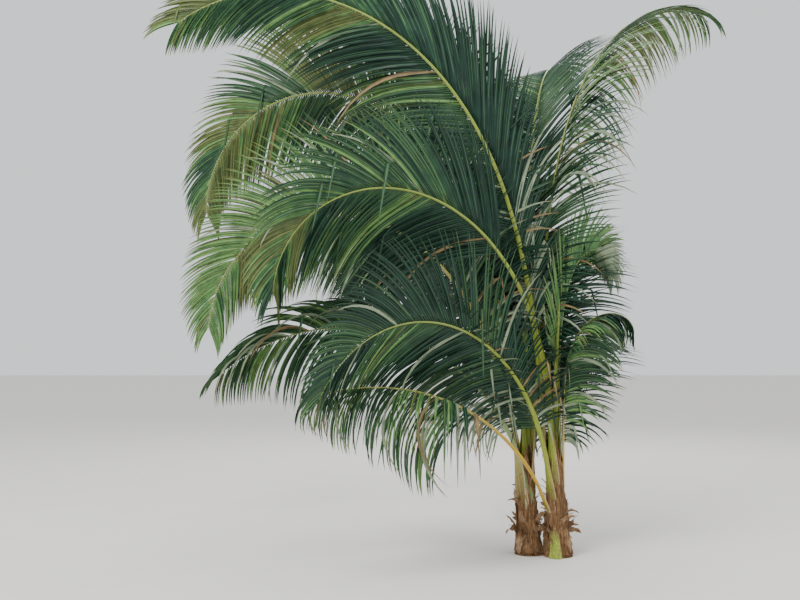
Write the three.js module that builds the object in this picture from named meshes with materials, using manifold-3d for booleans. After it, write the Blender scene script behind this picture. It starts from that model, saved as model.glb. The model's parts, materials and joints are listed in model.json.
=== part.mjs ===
// A young coconut palm of two stems from one root. Each stem is short and wrapped in brown leaf bases,
// and carries long arching fronds: a stalk, a tapering rib and a thin blade cut to the rib between its
// leaflets. Millimetres, degrees, +Z up. The origin is the middle of the main stem's flat cut at the foot.
// Headings are counted from +X, anticlockwise seen from above: 0 right, 90 away, 180 left, 270 forward.
import * as THREE from "three";
import { mergeVertices } from "three/addons/utils/BufferGeometryUtils.js";
import Module from "manifold-3d";

const wasm = await Module();
wasm.setup();

// The gap between pieces that meet, the least gap from a leaflet to another frond, and the overlap in cubic
// millimetres that counts as none.
const SEAT_GAP = 0.35;
const LEAFLET_GAP = 3;
const SLIVER = 0.002;

// The two stems. A stem tapers from its foot to its tip, and its root flare dies away with height.
const STEMS = {
  main: { x: 0, y: 0, height: 660, foot: 80, tip: 35, flare: 18, leanX: -18, leanY: 0 },
  side: { x: -202, y: 74, height: 640, foot: 72, tip: 34, flare: 27, leanX: -30, leanY: 10 },
};
const FLARE_HEIGHT = 70;
const STEM_SIDES = 20;
const STEM_RINGS = 9;

// Frond proportions. A share of 0 is where the frond leaves its stem, and 1 is its tip.
const STALK_SHARE = 0.24;
const ROLL_DONE_SHARE = 0.34;
const STALK_RINGS = 6;
const LEAFLETS_PER_METRE = 6;
const CURVE_STEPS = 240;
const LEAFLET_THICK = 10;
const LONGEST_LEAFLET = 950;
const FULL_FROND = 4200;

// A leaflet's angle to the rib at the first leaflet and at the tip, and where the upper leaflets of a frond
// close up to the rib, the angle of the first of those. How far a leaflet lifts out of the blade, and the
// share of its length by which a level one sags at its tip: on a firm young frond and on an old one whose
// leaflets hang. Lengths tried, where a neighbour is in the way.
const LEAFLET_ANGLE = { first: 72, tip: 28 };
const FIRST_UPPER_ANGLE = { top_left: 30, mid_left: 45 };
const LEAFLET_LIFT = { firm: 14, hanging: -26 };
const LEAFLET_SAG = { firm: 0.24, hanging: 0.54 };
const LEAFLET_WAIST = 0.72;
const LEAFLET_PARTS = [1, 0.78, 0.58, 0.4];

// Rib width and depth at its root, at the end of the stalk and at its tip, on a full frond.
const RIB_WIDTH = { root: 62, stalk: 46, tip: 7 };
const RIB_DEPTH = { root: 30, stalk: 28, tip: 6 };

// The heel of a stalk on a full frond: how far it runs down and in, and its share of the root's size.
const HEEL = { length: 70, inward: 13, width: 0.7, depth: 0.3 };
const HEEL_SHARE = -1;

// Each frond: its name, the stem it grows on, its height there, the side of the stem it is rooted on, its
// heading, how steeply it rises, how far it bends over by its tip, how late the bend comes, its length, how
// far its blade is rolled on edge, and how far its leaflets hang. The first ten follow the photograph, the
// rest complete the crown.
const FRONDS = [
  ["top_left", "main", 600, 160, 182, 86, 125, 2.3, 5400, 68, 0],
  ["mid_left", "main", 560, 243, 205, 89, 176, 1.8, 4000, 70, 0.1],
  ["front_left", "main", 430, 228, 217, 83, 146, 1.3, 2950, 66, 0],
  ["lowest_left", "main", 320, 200, 212, 72, 88, 0.8, 2440, 30, 1],
  ["upper_left", "side", 600, 155, 155, 85, 178, 2.2, 5550, 68, 0],
  ["far_left", "side", 420, 229, 159, 84, 170, 1.7, 4600, 66, 0],
  ["low_left", "side", 370, 294, 196, 81, 123, 1.1, 3080, 52, 0.5],
  ["top_right", "side", 590, 357, 20, 86, 101, 3.8, 4500, -30, 0.8],
  ["back_right", "main", 580, 48, 52, 90, 160, 3.3, 2430, -62, 0],
  ["low_right", "main", 440, 350, 338, 90, 190, 4.6, 1780, -20, 1],
  ["back", "main", 490, 108, 88, 83, 138, 1.8, 3800, 20, 0],
  ["low_back_right", "main", 390, 65, 78, 78, 135, 1.4, 2500, -30, 0.5],
  ["back_left", "side", 420, 100, 124, 78, 140, 1.8, 3900, 45, 0],
  ["low_back", "side", 315, 78, 103, 70, 130, 1.4, 2900, -30, 0.6],
  ["upright", "side", 600, 81, 72, 88, 105, 2.6, 4600, -20, 0],
  ["inner_back", "side", 450, 40, 78, 82, 150, 1.8, 3500, -25, 0.1],
];

// The unopened leaf that stands out of each stem's tip.
const SPEARS = {
  main: { length: 1200, width: 40, rise: 88, droop: 5, heading: 280 },
  side: { length: 1150, width: 36, rise: 88, droop: 6, heading: 100 },
};
const SPEAR_RINGS = 6;
const SPEAR_SIDES = 6;

// Old leaf bases round the foot of each stem: the side they stand on, the angle they cover, their height,
// how far their top leans out, their thickness, and how deep their top edge is torn.
const BOOTS = {
  boot_main_left: { stem: "main", at: 208, span: 46, height: 230, lean: 24, thick: 11, torn: 0.26 },
  stub_main_front: { stem: "main", at: 252, span: 40, height: 190, lean: 16, thick: 24, torn: 0.04 },
  boot_main_front: { stem: "main", at: 300, span: 54, height: 600, lean: 12, thick: 11, torn: 0.14 },
  boot_main_right: { stem: "main", at: 348, span: 40, height: 440, lean: 16, thick: 11, torn: 0.2 },
  boot_main_back_right: { stem: "main", at: 36, span: 54, height: 420, lean: 34, thick: 11, torn: 0.2 },
  boot_main_back: { stem: "main", at: 97, span: 56, height: 330, lean: 30, thick: 11, torn: 0.24 },
  boot_main_inside: { stem: "main", at: 160, span: 48, height: 260, lean: 6, thick: 11, torn: 0.2 },
  boot_side_left: { stem: "side", at: 172, span: 60, height: 500, lean: 24, thick: 11, torn: 0.16 },
  boot_side_front: { stem: "side", at: 243, span: 66, height: 220, lean: 26, thick: 11, torn: 0.28 },
  boot_side_inside: { stem: "side", at: 312, span: 58, height: 210, lean: 6, thick: 11, torn: 0.24 },
  boot_side_right: { stem: "side", at: 18, span: 56, height: 440, lean: 14, thick: 11, torn: 0.14 },
  boot_side_back: { stem: "side", at: 93, span: 70, height: 300, lean: 30, thick: 11, torn: 0.22 },
};
const BOOT_SINK = 6;
const BOOT_COLUMNS = 6;
const BOOT_ROWS = 4;

const COLOURS = {
  bark: new THREE.MeshStandardMaterial({ name: "bark", color: 0x6b4a36, roughness: 0.92, metalness: 0 }),
  fibre: new THREE.MeshStandardMaterial({ name: "fibre", color: 0x7d5238, roughness: 0.95, metalness: 0 }),
  blade: new THREE.MeshStandardMaterial({ name: "blade", color: 0x2f5a38, roughness: 0.5, metalness: 0 }),
  stalk: new THREE.MeshStandardMaterial({ name: "stalk", color: 0x93a33d, roughness: 0.5, metalness: 0 }),
};

const radians = THREE.MathUtils.degToRad;
const lerp = THREE.MathUtils.lerp;
const ease = (x) => THREE.MathUtils.smoothstep(x, 0, 1);

// Solids from meshes and back

function solidFrom(points, triangles) {
  const geometry = new THREE.BufferGeometry().setFromPoints(points).setIndex(triangles);
  return solidOf(geometry);
}

function solidOf(geometry) {
  const bare = new THREE.BufferGeometry().setAttribute("position", geometry.getAttribute("position"));
  if (geometry.index) bare.setIndex(geometry.index);
  const merged = mergeVertices(bare, 1e-3);
  const mesh = new wasm.Mesh({
    numProp: 3,
    vertProperties: merged.attributes.position.array,
    triVerts: new Uint32Array(merged.index.array),
  });
  return new wasm.Manifold(mesh);
}

function largestOf(solid) {
  return solid.decompose().sort((a, b) => b.volume() - a.volume())[0];
}

function meshOf(name, solid, material) {
  const made = solid.getMesh();
  const count = made.numProp;
  const positions = new Float32Array(made.numVert * 3);
  for (let i = 0; i < made.numVert; i++) {
    positions.set(made.vertProperties.subarray(i * count, i * count + 3), i * 3);
  }
  const geometry = new THREE.BufferGeometry();
  geometry.setAttribute("position", new THREE.BufferAttribute(positions, 3));
  geometry.setIndex(new THREE.BufferAttribute(made.triVerts, 1));
  geometry.computeVertexNormals();
  const mesh = new THREE.Mesh(geometry, material);
  mesh.name = name;
  return mesh;
}

// Stems

function stemRadius(stem, z) {
  const up = THREE.MathUtils.clamp(z / stem.height, 0, 1);
  return lerp(stem.foot, stem.tip, up) + stem.flare * Math.exp(-Math.max(z, 0) / FLARE_HEIGHT);
}

function stemAxis(stem, z) {
  const up = z / stem.height;
  return new THREE.Vector3(stem.x + stem.leanX * up, stem.y + stem.leanY * up, z);
}

function stemSolid(stem, grow) {
  const profile = [new THREE.Vector2(0, -grow), new THREE.Vector2(stemRadius(stem, 0) + grow, -grow)];
  for (let i = 0; i <= STEM_RINGS; i++) {
    const z = stem.height * (i / STEM_RINGS) ** 1.4;
    profile.push(new THREE.Vector2(stemRadius(stem, z) + grow, z));
  }
  profile.push(new THREE.Vector2(0, stem.height + stem.tip + grow));
  const geometry = new THREE.LatheGeometry(profile, STEM_SIDES).rotateX(Math.PI / 2);
  const position = geometry.attributes.position;
  for (let i = 0; i < position.count; i++) {
    const axis = stemAxis(stem, position.getZ(i));
    position.setXY(i, axis.x + position.getX(i), axis.y + position.getY(i));
  }
  return solidOf(geometry);
}

// Frond curves

// The rib's middle line as many short steps, with the blade's frame at each: along, side and up.
function ribCurve(frond) {
  const stem = STEMS[frond.stem];
  const heading = radians(frond.heading);
  const reach = stemRadius(stem, frond.z) + frond.scale * RIB_DEPTH.root * 0.4;
  const at = stemAxis(stem, frond.z).addScaledVector(frond.outward, reach);
  const flat = new THREE.Vector3(-Math.sin(heading), Math.cos(heading), 0);
  const curve = [];
  for (let i = 0; i <= CURVE_STEPS; i++) {
    const share = i / CURVE_STEPS;
    const rise = radians(frond.rise - frond.droop * share ** frond.late);
    const roll = radians(frond.roll) * ease(share / ROLL_DONE_SHARE);
    const along = new THREE.Vector3(
      Math.cos(rise) * Math.cos(heading),
      Math.cos(rise) * Math.sin(heading),
      Math.sin(rise),
    );
    const above = new THREE.Vector3().crossVectors(along, flat);
    const side = flat.clone().multiplyScalar(Math.cos(roll)).addScaledVector(above, Math.sin(roll));
    const up = new THREE.Vector3().crossVectors(along, side);
    curve.push({ at: at.clone(), along, side, up });
    at.addScaledVector(along, frond.length / CURVE_STEPS);
  }
  return curve;
}

const curveAt = (curve, share) => curve[Math.round(share * CURVE_STEPS)];

// A size that falls from the root to the end of the stalk, and from there to the tip.
function ribSize(size, share, scale) {
  const stalk = Math.max(share, 0) / STALK_SHARE;
  if (stalk < 1) return scale * lerp(size.root, size.stalk, Math.sqrt(stalk));
  return scale * lerp(size.stalk, size.tip, (share - STALK_SHARE) / (1 - STALK_SHARE));
}

// Length and lie of the leaflets along the blade, from 0 at its first leaflet to 1 at the tip.
function leafletLength(blade) {
  const grown = lerp(0.55, 1, ease(blade / 0.3));
  const dwindled = 1 - 0.72 * Math.max(0, (blade - 0.35) / 0.65) ** 1.6;
  return LONGEST_LEAFLET * grown * dwindled;
}

function leafletAngle(frond, right, blade) {
  const first = (right && FIRST_UPPER_ANGLE[frond.name]) || LEAFLET_ANGLE.first;
  return radians(lerp(first, LEAFLET_ANGLE.tip, blade));
}

// Six corners round the rib: ridge, left edge above and below, keel, right edge below and above. Where the
// share is under 0 they go round the thin heel of the stalk, which runs down on to the stem.
function ringAt(frond, share, grow = 0, shift = 0) {
  const { at, along, side, up } = curveAt(frond.curve, Math.max(share, 0));
  const centre = at.clone().addScaledVector(along, shift);
  let halfWidth = ribSize(RIB_WIDTH, share, frond.scale) / 2 + grow;
  let halfDepth = ribSize(RIB_DEPTH, share, frond.scale) / 2 + grow;
  if (share < 0) {
    centre.addScaledVector(along, -HEEL.length * frond.scale);
    centre.addScaledVector(frond.outward, -HEEL.inward * frond.scale);
    halfWidth *= HEEL.width;
    halfDepth *= HEEL.depth;
  }
  const edge = Math.min(LEAFLET_THICK / 2, halfDepth * 0.7) + grow;
  const place = (wide, deep) => centre.clone().addScaledVector(side, wide).addScaledVector(up, deep);
  return [
    place(0, halfDepth),
    place(-halfWidth, edge),
    place(-halfWidth, -edge),
    place(0, -halfDepth),
    place(halfWidth, -edge),
    place(halfWidth, edge),
  ];
}

// The corners of a leaflet beyond its root: four at its middle and one at its tip.
function leafletPoints(frond, root, frame, right, blade, length) {
  const { hang } = frond;
  const angle = leafletAngle(frond, right, blade);
  const lift = radians(lerp(LEAFLET_LIFT.firm, LEAFLET_LIFT.hanging, hang));
  const outward = frame.side.clone().multiplyScalar(right ? 1 : -1);
  outward.multiplyScalar(Math.cos(lift)).addScaledVector(frame.up, Math.sin(lift));
  const direction = frame.along.clone().multiplyScalar(Math.cos(angle));
  direction.addScaledVector(outward, Math.sin(angle));
  const centre = root[0].clone().add(root[1]).add(root[2]).add(root[3]).multiplyScalar(0.25);
  const sag = length * lerp(LEAFLET_SAG.firm, LEAFLET_SAG.hanging, hang) * (1 - direction.z ** 2);
  const middle = centre.clone().addScaledVector(direction, length * 0.5);
  middle.z -= sag * 0.3;
  const tip = centre.clone().addScaledVector(direction, length);
  tip.z -= sag;
  const across = frame.along.clone().addScaledVector(direction, -frame.along.dot(direction)).normalize();
  const through = new THREE.Vector3().crossVectors(direction, across);
  if (through.dot(frame.up) < 0) through.negate();
  const halfWidth = root[0].distanceTo(root[3]) * 0.5 * LEAFLET_WAIST * Math.sin(angle);
  const halfThick = LEAFLET_THICK / 2;
  const corner = (wide, thick) =>
    middle.clone().addScaledVector(across, wide * halfWidth).addScaledVector(through, thick * halfThick);
  const near = right ? [corner(-1, -1), corner(-1, 1)] : [corner(-1, 1), corner(-1, -1)];
  const far = right ? [corner(1, 1), corner(1, -1)] : [corner(1, -1), corner(1, 1)];
  return [...near, ...far, tip];
}

function pushQuad(triangles, a, b, c, d) {
  triangles.push(a, b, c, a, c, d);
}

// A leaflet on the four root corners, numbered in the frond's own list of points.
function pushLeaflet(triangles, root, first) {
  const middle = [first, first + 1, first + 2, first + 3];
  for (let k = 0; k < 4; k++) {
    const next = (k + 1) % 4;
    pushQuad(triangles, root[k], root[next], middle[next], middle[k]);
    triangles.push(middle[k], middle[next], first + 4);
  }
}

// A length of frond between two shares as one closed mesh. A leaflet stands on each edge of a blade step
// where leaflets holds its five points.
function frondSolid(frond, shares, leaflets, grow = 0, shift = 0) {
  const points = [];
  const triangles = [];
  shares.forEach((share, i) => points.push(...ringAt(frond, share, grow, i === 0 ? shift : 0)));
  for (let i = 0; i + 1 < shares.length; i++) {
    const low = i * 6;
    const high = low + 6;
    for (let j = 0; j < 6; j++) {
      const next = (j + 1) % 6;
      const root = [low + j, low + next, high + next, high + j];
      const leaflet = leaflets.get(shares[i] + (j === 1 ? "left" : j === 4 ? "right" : ""));
      if (leaflet) {
        pushLeaflet(triangles, root, points.length);
        points.push(...leaflet);
      } else {
        pushQuad(triangles, ...root);
      }
    }
  }
  const last = (shares.length - 1) * 6;
  for (let j = 1; j < 5; j++) {
    triangles.push(0, j + 1, j);
    triangles.push(last, last + j, last + j + 1);
  }
  return solidFrom(points, triangles);
}

// Planning the fronds: their curves, their steps and their bare ribs

function planFrond([name, stem, z, from, heading, rise, droop, late, length, roll, hang]) {
  const frond = { name, stem, z, from, heading, rise, droop, late, length, roll, hang };
  frond.scale = Math.min(1.1, (frond.length / FULL_FROND) ** 0.6);
  frond.outward = new THREE.Vector3(Math.cos(radians(frond.from)), Math.sin(radians(frond.from)), 0);
  frond.curve = ribCurve(frond);
  const steps = Math.round((LEAFLETS_PER_METRE * frond.length * (1 - STALK_SHARE)) / 1000);
  frond.stalk = [HEEL_SHARE];
  for (let i = 0; i < STALK_RINGS; i++) frond.stalk.push((STALK_SHARE * i) / STALK_RINGS);
  frond.blade = [];
  for (let i = 0; i <= steps; i++) frond.blade.push(lerp(STALK_SHARE, 1, i / steps));
  frond.split = Math.round(steps * 0.4);
  frond.shares = [...frond.stalk, ...frond.blade];
  frond.leaflets = new Map();
  frond.rib = frondSolid(frond, frond.shares, frond.leaflets);
  return frond;
}

// Spears

function spearSolid(name, spear) {
  const stem = STEMS[name];
  const heading = radians(spear.heading);
  const foot = stemAxis(stem, stem.height + stem.tip + SEAT_GAP);
  const corners = [];
  const triangles = [];
  for (let i = 0; i <= SPEAR_RINGS; i++) {
    const share = i / SPEAR_RINGS;
    const z = spear.length * share;
    const out = z / Math.tan(radians(spear.rise - spear.droop * share));
    const centre = foot.clone().add(new THREE.Vector3(out * Math.cos(heading), out * Math.sin(heading), z));
    if (i === SPEAR_RINGS) corners.push(centre);
    const radius = (spear.width / 2) * (1 - 0.75 * share ** 1.3);
    for (let k = 0; k < SPEAR_SIDES && i < SPEAR_RINGS; k++) {
      const turn = (2 * Math.PI * k) / SPEAR_SIDES;
      const spoke = new THREE.Vector3(radius * Math.cos(turn), radius * Math.sin(turn), 0);
      corners.push(spoke.add(centre));
    }
  }
  const last = (SPEAR_RINGS - 1) * SPEAR_SIDES;
  for (let k = 0; k < SPEAR_SIDES; k++) {
    const next = (k + 1) % SPEAR_SIDES;
    for (let low = 0; low < last; low += SPEAR_SIDES) {
      const high = low + SPEAR_SIDES;
      pushQuad(triangles, low + k, low + next, high + next, high + k);
    }
    triangles.push(last + k, last + next, last + SPEAR_SIDES);
    if (k > 0 && k + 1 < SPEAR_SIDES) triangles.push(0, k + 1, k);
  }
  return solidFrom(corners, triangles);
}

// Everything that stands before the leaflets grow

function eachOf(table, make) {
  return Object.fromEntries(Object.entries(table).map(([name, row]) => [name, make(row, name)]));
}

const stems = eachOf(STEMS, (stem) => stemSolid(stem, 0));
const stemRooms = eachOf(STEMS, (stem) => stemSolid(stem, SEAT_GAP));
stems.side = largestOf(stems.side.subtract(stemRooms.main));
const spears = eachOf(SPEARS, (spear, name) => spearSolid(name, spear));
const fronds = FRONDS.map(planFrond);

// Leaflets: each is as long as its place gives, made shorter where it would touch another frond, and
// skipped where even a short one would.

const near = (a, b) => {
  const p = a.boundingBox();
  const q = b.boundingBox();
  return [0, 1, 2].every((k) => p.min[k] < q.max[k] + LEAFLET_GAP && q.min[k] < p.max[k] + LEAFLET_GAP);
};

function growLeaflet(frond, step, right, placed) {
  const share = frond.blade[step];
  const blade = (step + 0.5) / (frond.blade.length - 1);
  const low = ringAt(frond, share);
  const high = ringAt(frond, frond.blade[step + 1]);
  const root = right ? [low[4], low[5], high[5], high[4]] : [low[1], low[2], high[2], high[1]];
  const frame = curveAt(frond.curve, (share + frond.blade[step + 1]) / 2);
  for (const part of LEAFLET_PARTS) {
    const length = leafletLength(blade) * frond.scale * part;
    const points = leafletPoints(frond, root, frame, right, blade, length);
    const triangles = [0, 2, 1, 0, 3, 2];
    pushLeaflet(triangles, [0, 1, 2, 3], 4);
    const solid = solidFrom([...root, ...points], triangles);
    const blocked = placed.some((other) => {
      if (other.solid === frond.rib || !near(other.solid, solid)) return false;
      if (other.owner === frond.name) return solid.intersect(other.solid).volume() > SLIVER;
      return solid.minGap(other.solid, LEAFLET_GAP) < LEAFLET_GAP;
    });
    if (!blocked) {
      frond.leaflets.set(share + (right ? "right" : "left"), points);
      placed.push({ owner: frond.name, solid });
      return;
    }
  }
}

const placed = fronds.map((frond) => ({ owner: frond.name, solid: frond.rib }));
for (const solid of [...Object.values(stems), ...Object.values(spears)]) placed.push({ owner: "", solid });
for (const frond of fronds) {
  for (let step = 0; step + 1 < frond.blade.length; step++) {
    growLeaflet(frond, step, true, placed);
    growLeaflet(frond, step, false, placed);
  }
}

// Boots

// A curved sheet that hugs its stem at the ground and leans away to a torn top edge.
function bootShape(boot, grow) {
  const stem = STEMS[boot.stem];
  const points = [];
  const triangles = [];
  const columns = BOOT_COLUMNS + 1;
  const rows = BOOT_ROWS + 1;
  const half = rows * columns;
  for (const outer of [true, false]) {
    for (let row = 0; row < rows; row++) {
      const up = row / BOOT_ROWS;
      for (let column = 0; column < columns; column++) {
        const across = column / BOOT_COLUMNS - 0.5;
        const torn = 1 - boot.torn * (column % 2) - across * across;
        const z = boot.height * up * torn + (row === 0 ? -grow : grow);
        const skin = stemRadius(stem, z) + boot.thick + boot.lean * up * up;
        const radius = outer ? skin + grow : skin - boot.thick - BOOT_SINK * (1 - up) - grow;
        const turn = radians(boot.at + boot.span * across * (1 - 0.35 * up)) + (2 * across * grow) / radius;
        const axis = stemAxis(stem, z);
        points.push(axis.add(new THREE.Vector3(radius * Math.cos(turn), radius * Math.sin(turn), 0)));
      }
    }
  }
  const at = (row, column, inner = 0) => inner * half + row * columns + column;
  const end = BOOT_COLUMNS;
  const top = BOOT_ROWS;
  for (let row = 0; row < top; row++) {
    for (let column = 0; column < end; column++) {
      const high = row + 1;
      const next = column + 1;
      pushQuad(triangles, at(row, column), at(row, next), at(high, next), at(high, column));
      pushQuad(triangles, at(row, column, 1), at(high, column, 1), at(high, next, 1), at(row, next, 1));
    }
    pushQuad(triangles, at(row, 0), at(row + 1, 0), at(row + 1, 0, 1), at(row, 0, 1));
    pushQuad(triangles, at(row, end), at(row, end, 1), at(row + 1, end, 1), at(row + 1, end));
  }
  for (let column = 0; column < end; column++) {
    pushQuad(triangles, at(0, column), at(0, column, 1), at(0, column + 1, 1), at(0, column + 1));
    pushQuad(triangles, at(top, column), at(top, column + 1), at(top, column + 1, 1), at(top, column, 1));
  }
  return solidFrom(points, triangles);
}

// The palm

const palm = new THREE.Group();
for (const [name, solid] of Object.entries(stems)) palm.add(meshOf("stem_" + name, solid, COLOURS.bark));
for (const frond of fronds) {
  const inner = [...frond.stalk, ...frond.blade.slice(0, frond.split + 1)];
  const outer = frond.blade.slice(frond.split);
  const seated = largestOf(frondSolid(frond, inner, frond.leaflets).subtract(stemRooms[frond.stem]));
  const drooping = frondSolid(frond, outer, frond.leaflets, 0, SEAT_GAP);
  palm.add(meshOf(`frond_${frond.name}_inner`, seated, COLOURS.blade));
  palm.add(meshOf(`frond_${frond.name}_outer`, drooping, COLOURS.blade));
}
for (const [name, solid] of Object.entries(spears)) palm.add(meshOf("spear_" + name, solid, COLOURS.stalk));
const rooms = [
  ...Object.values(stemRooms),
  ...fronds.map((frond) => frondSolid(frond, frond.stalk, frond.leaflets, SEAT_GAP)),
];
for (const [name, boot] of Object.entries(BOOTS)) {
  const solid = rooms.reduce((rest, room) => rest.subtract(room), bootShape(boot, 0));
  palm.add(meshOf(name, largestOf(solid), name.startsWith("stub") ? COLOURS.stalk : COLOURS.fibre));
  rooms.push(bootShape(boot, SEAT_GAP));
}

export default palm;
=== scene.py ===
# The looks of a young coconut palm of two stems from one root: bark, fibre sheaths, channelled stalks and
# ribs, and thousands of folded leaflets. Metres and degrees, +Z up. Headings are counted from +X,
# anticlockwise seen from above: 0 right, 90 away, 180 left, 270 forward.
import json
import math

import bpy
import numpy as np
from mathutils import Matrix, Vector, noise

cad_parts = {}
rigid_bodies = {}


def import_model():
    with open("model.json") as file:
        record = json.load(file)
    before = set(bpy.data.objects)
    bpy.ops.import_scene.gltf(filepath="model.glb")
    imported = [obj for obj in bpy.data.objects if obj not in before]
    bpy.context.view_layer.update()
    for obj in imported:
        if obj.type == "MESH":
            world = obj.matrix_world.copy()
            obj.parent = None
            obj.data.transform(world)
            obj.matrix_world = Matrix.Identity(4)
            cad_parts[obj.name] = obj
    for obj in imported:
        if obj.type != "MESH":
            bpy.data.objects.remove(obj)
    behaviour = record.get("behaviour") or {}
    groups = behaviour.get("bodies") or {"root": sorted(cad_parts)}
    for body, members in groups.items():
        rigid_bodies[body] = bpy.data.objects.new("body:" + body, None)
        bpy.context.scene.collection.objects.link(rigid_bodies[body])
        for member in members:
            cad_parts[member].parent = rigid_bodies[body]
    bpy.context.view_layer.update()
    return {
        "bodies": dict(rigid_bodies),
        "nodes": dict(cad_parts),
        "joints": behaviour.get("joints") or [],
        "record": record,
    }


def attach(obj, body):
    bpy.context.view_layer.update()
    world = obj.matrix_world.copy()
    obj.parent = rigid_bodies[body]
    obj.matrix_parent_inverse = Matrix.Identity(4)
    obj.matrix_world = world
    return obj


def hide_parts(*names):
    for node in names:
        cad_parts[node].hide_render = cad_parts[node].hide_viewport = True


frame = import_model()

SEED = 20

# The two stems. A stem tapers from its foot to its tip, and its root flare dies away with height.
STEMS = {
    "main": {"x": 0.0, "y": 0.0, "height": 0.66, "foot": 0.08, "tip": 0.035, "flare": 0.018,
             "lean_x": -0.018, "lean_y": 0.0},
    "side": {"x": -0.202, "y": 0.074, "height": 0.64, "foot": 0.072, "tip": 0.034, "flare": 0.027,
             "lean_x": -0.03, "lean_y": 0.01},
}
FLARE_HEIGHT = 0.07

# Frond proportions. A share of 0 is where the frond leaves its stem, and 1 is its tip. A stalk's foot lies
# flat on its stem, and turns to face its heading by the twist share. Rib and leaflets scale with the frond's
# length, up to a most.
STALK_SHARE = 0.24
ROLL_DONE_SHARE = 0.34
TWIST_DONE_SHARE = 0.15
CURVE_STEPS = 240
FULL_FROND = 4.2
FROND_SCALE = {"power": 0.6, "most": 1.1}

# The stalk and rib: their width and depth, how the rib thins at the blade, how far the stalk stands off its
# stem as a share of its depth, and how its foot widens. The heel below it thins against the stem, and its
# share is its place in the stalk's colours. The stalk's channel closes along the rib.
RIB_WIDTH = {"root": 0.062, "stalk": 0.046, "tip": 0.007}
RIB_DEPTH = {"root": 0.030, "stalk": 0.028, "tip": 0.006}
RIB_THINNING = {"from": 0.18, "over": 0.2, "to": 0.72}
STALK_STANDS_OFF = 0.4
STALK_FOOT_SPREAD = {"by": 0.8, "until": 0.09}
HEEL = {"share": -0.03, "length": 0.07, "inward": 0.013, "width": 0.86, "depth": 0.34}
HEEL_MIDDLE = {"share": -0.015, "inward": 0.002, "width": 0.97, "depth": 0.7}
CHANNEL = {"from": 0.1, "over": 0.25, "depth": 0.75}
RIB_RINGS = 96
RIB_RINGS_CROWD = 1.25
RIB_SIDES = 14

# Leaflets: the distance between two on one side of the rib, the longest on a full frond, and how their
# length grows along the blade and dwindles to the tip.
LEAFLET_PITCH = 0.021
LONGEST_LEAFLET = 0.95
LEAFLET_GROWTH = {"first": 0.55, "full_at": 0.3, "on_stalk": 0.6, "stalk_reach": 0.08}
LEAFLET_DWINDLING = {"from": 0.35, "by": 0.72, "power": 1.6}

# The angle to the rib at the first leaflet and at the tip, and at the first upper one where those close up
# to the rib; how far leaflets lift out of the blade and bend over, how late the bend comes, and how much of
# it upright ones keep; how they fold, turn and twist; their width, and that of the shortest as a share of
# it; and how far out on the rib they are rooted, as a share of its half width.
LEAFLET_ANGLE = {"first": 72, "tip": 28}
FIRST_UPPER_ANGLE = {"top_left": 30, "mid_left": 45}
LEAFLET_LIFT = {"firm": 14, "hanging": -26}
LEAFLET_BEND = {"firm": 40, "hanging": 88}
BEND_POWER = {"firm": 1.6, "hanging": 0.8}
STEEP_LEAFLET_BEND = 0.25
LEAFLET_FOLD = {"usual": 28, "varies": 3, "flattens": 0.4}
LEAFLET_TURN = 16
LEAFLET_TWIST = 10
LEAFLET_WIDTH = 0.030
SHORT_LEAFLET_WIDTH = 0.45
LEAFLET_ROOT = 0.7
LEAFLET_THICK = 0.0018
LEAFLET_RINGS = 10

# How leaflets differ: the usual value, how far it swings slowly along the frond, and how far it varies from
# one leaflet to the next. Their places vary by a share of the distance between them.
WAVES_PER_FROND = 9
PLACE_VARIES = 0.07
LEAFLET_VARIES = {
    "angle": (0, 3.0, 0.9),
    "lift": (0, 4.0, 2.2),
    "bend": (0, 8.0, 3.0),
    "length": (1, 0.05, 0.022),
    "turn": (0, 7.0, 4.0),
}

# Wear: how far up the blade it reaches, as a share of it, how much more often leaflets are worn there, how
# much further worn ones bend, and how far that and the limpness of the first ones vary. Then the share that
# is snapped anywhere, and near the stalk among the worn, where along its length one snaps, and how much of
# its first direction the snapped end keeps. One is unbroken where the snap lies beyond its tip.
NEAR_STALK = 0.08
WORN_NEAR_STALK = 12
WORN_BEND = 55
WORN_BEND_VARIES = (0.2, 1)
LIMP_VARIES = (0.3, 1.4)
SNAPPED_LEAFLETS = 0.012
SNAPPED_WORN = 0.8
SNAPPED_AT = (0.25, 0.65)
SNAPPED_KEEPS = 0.22
UNBROKEN = 2.0

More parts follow.
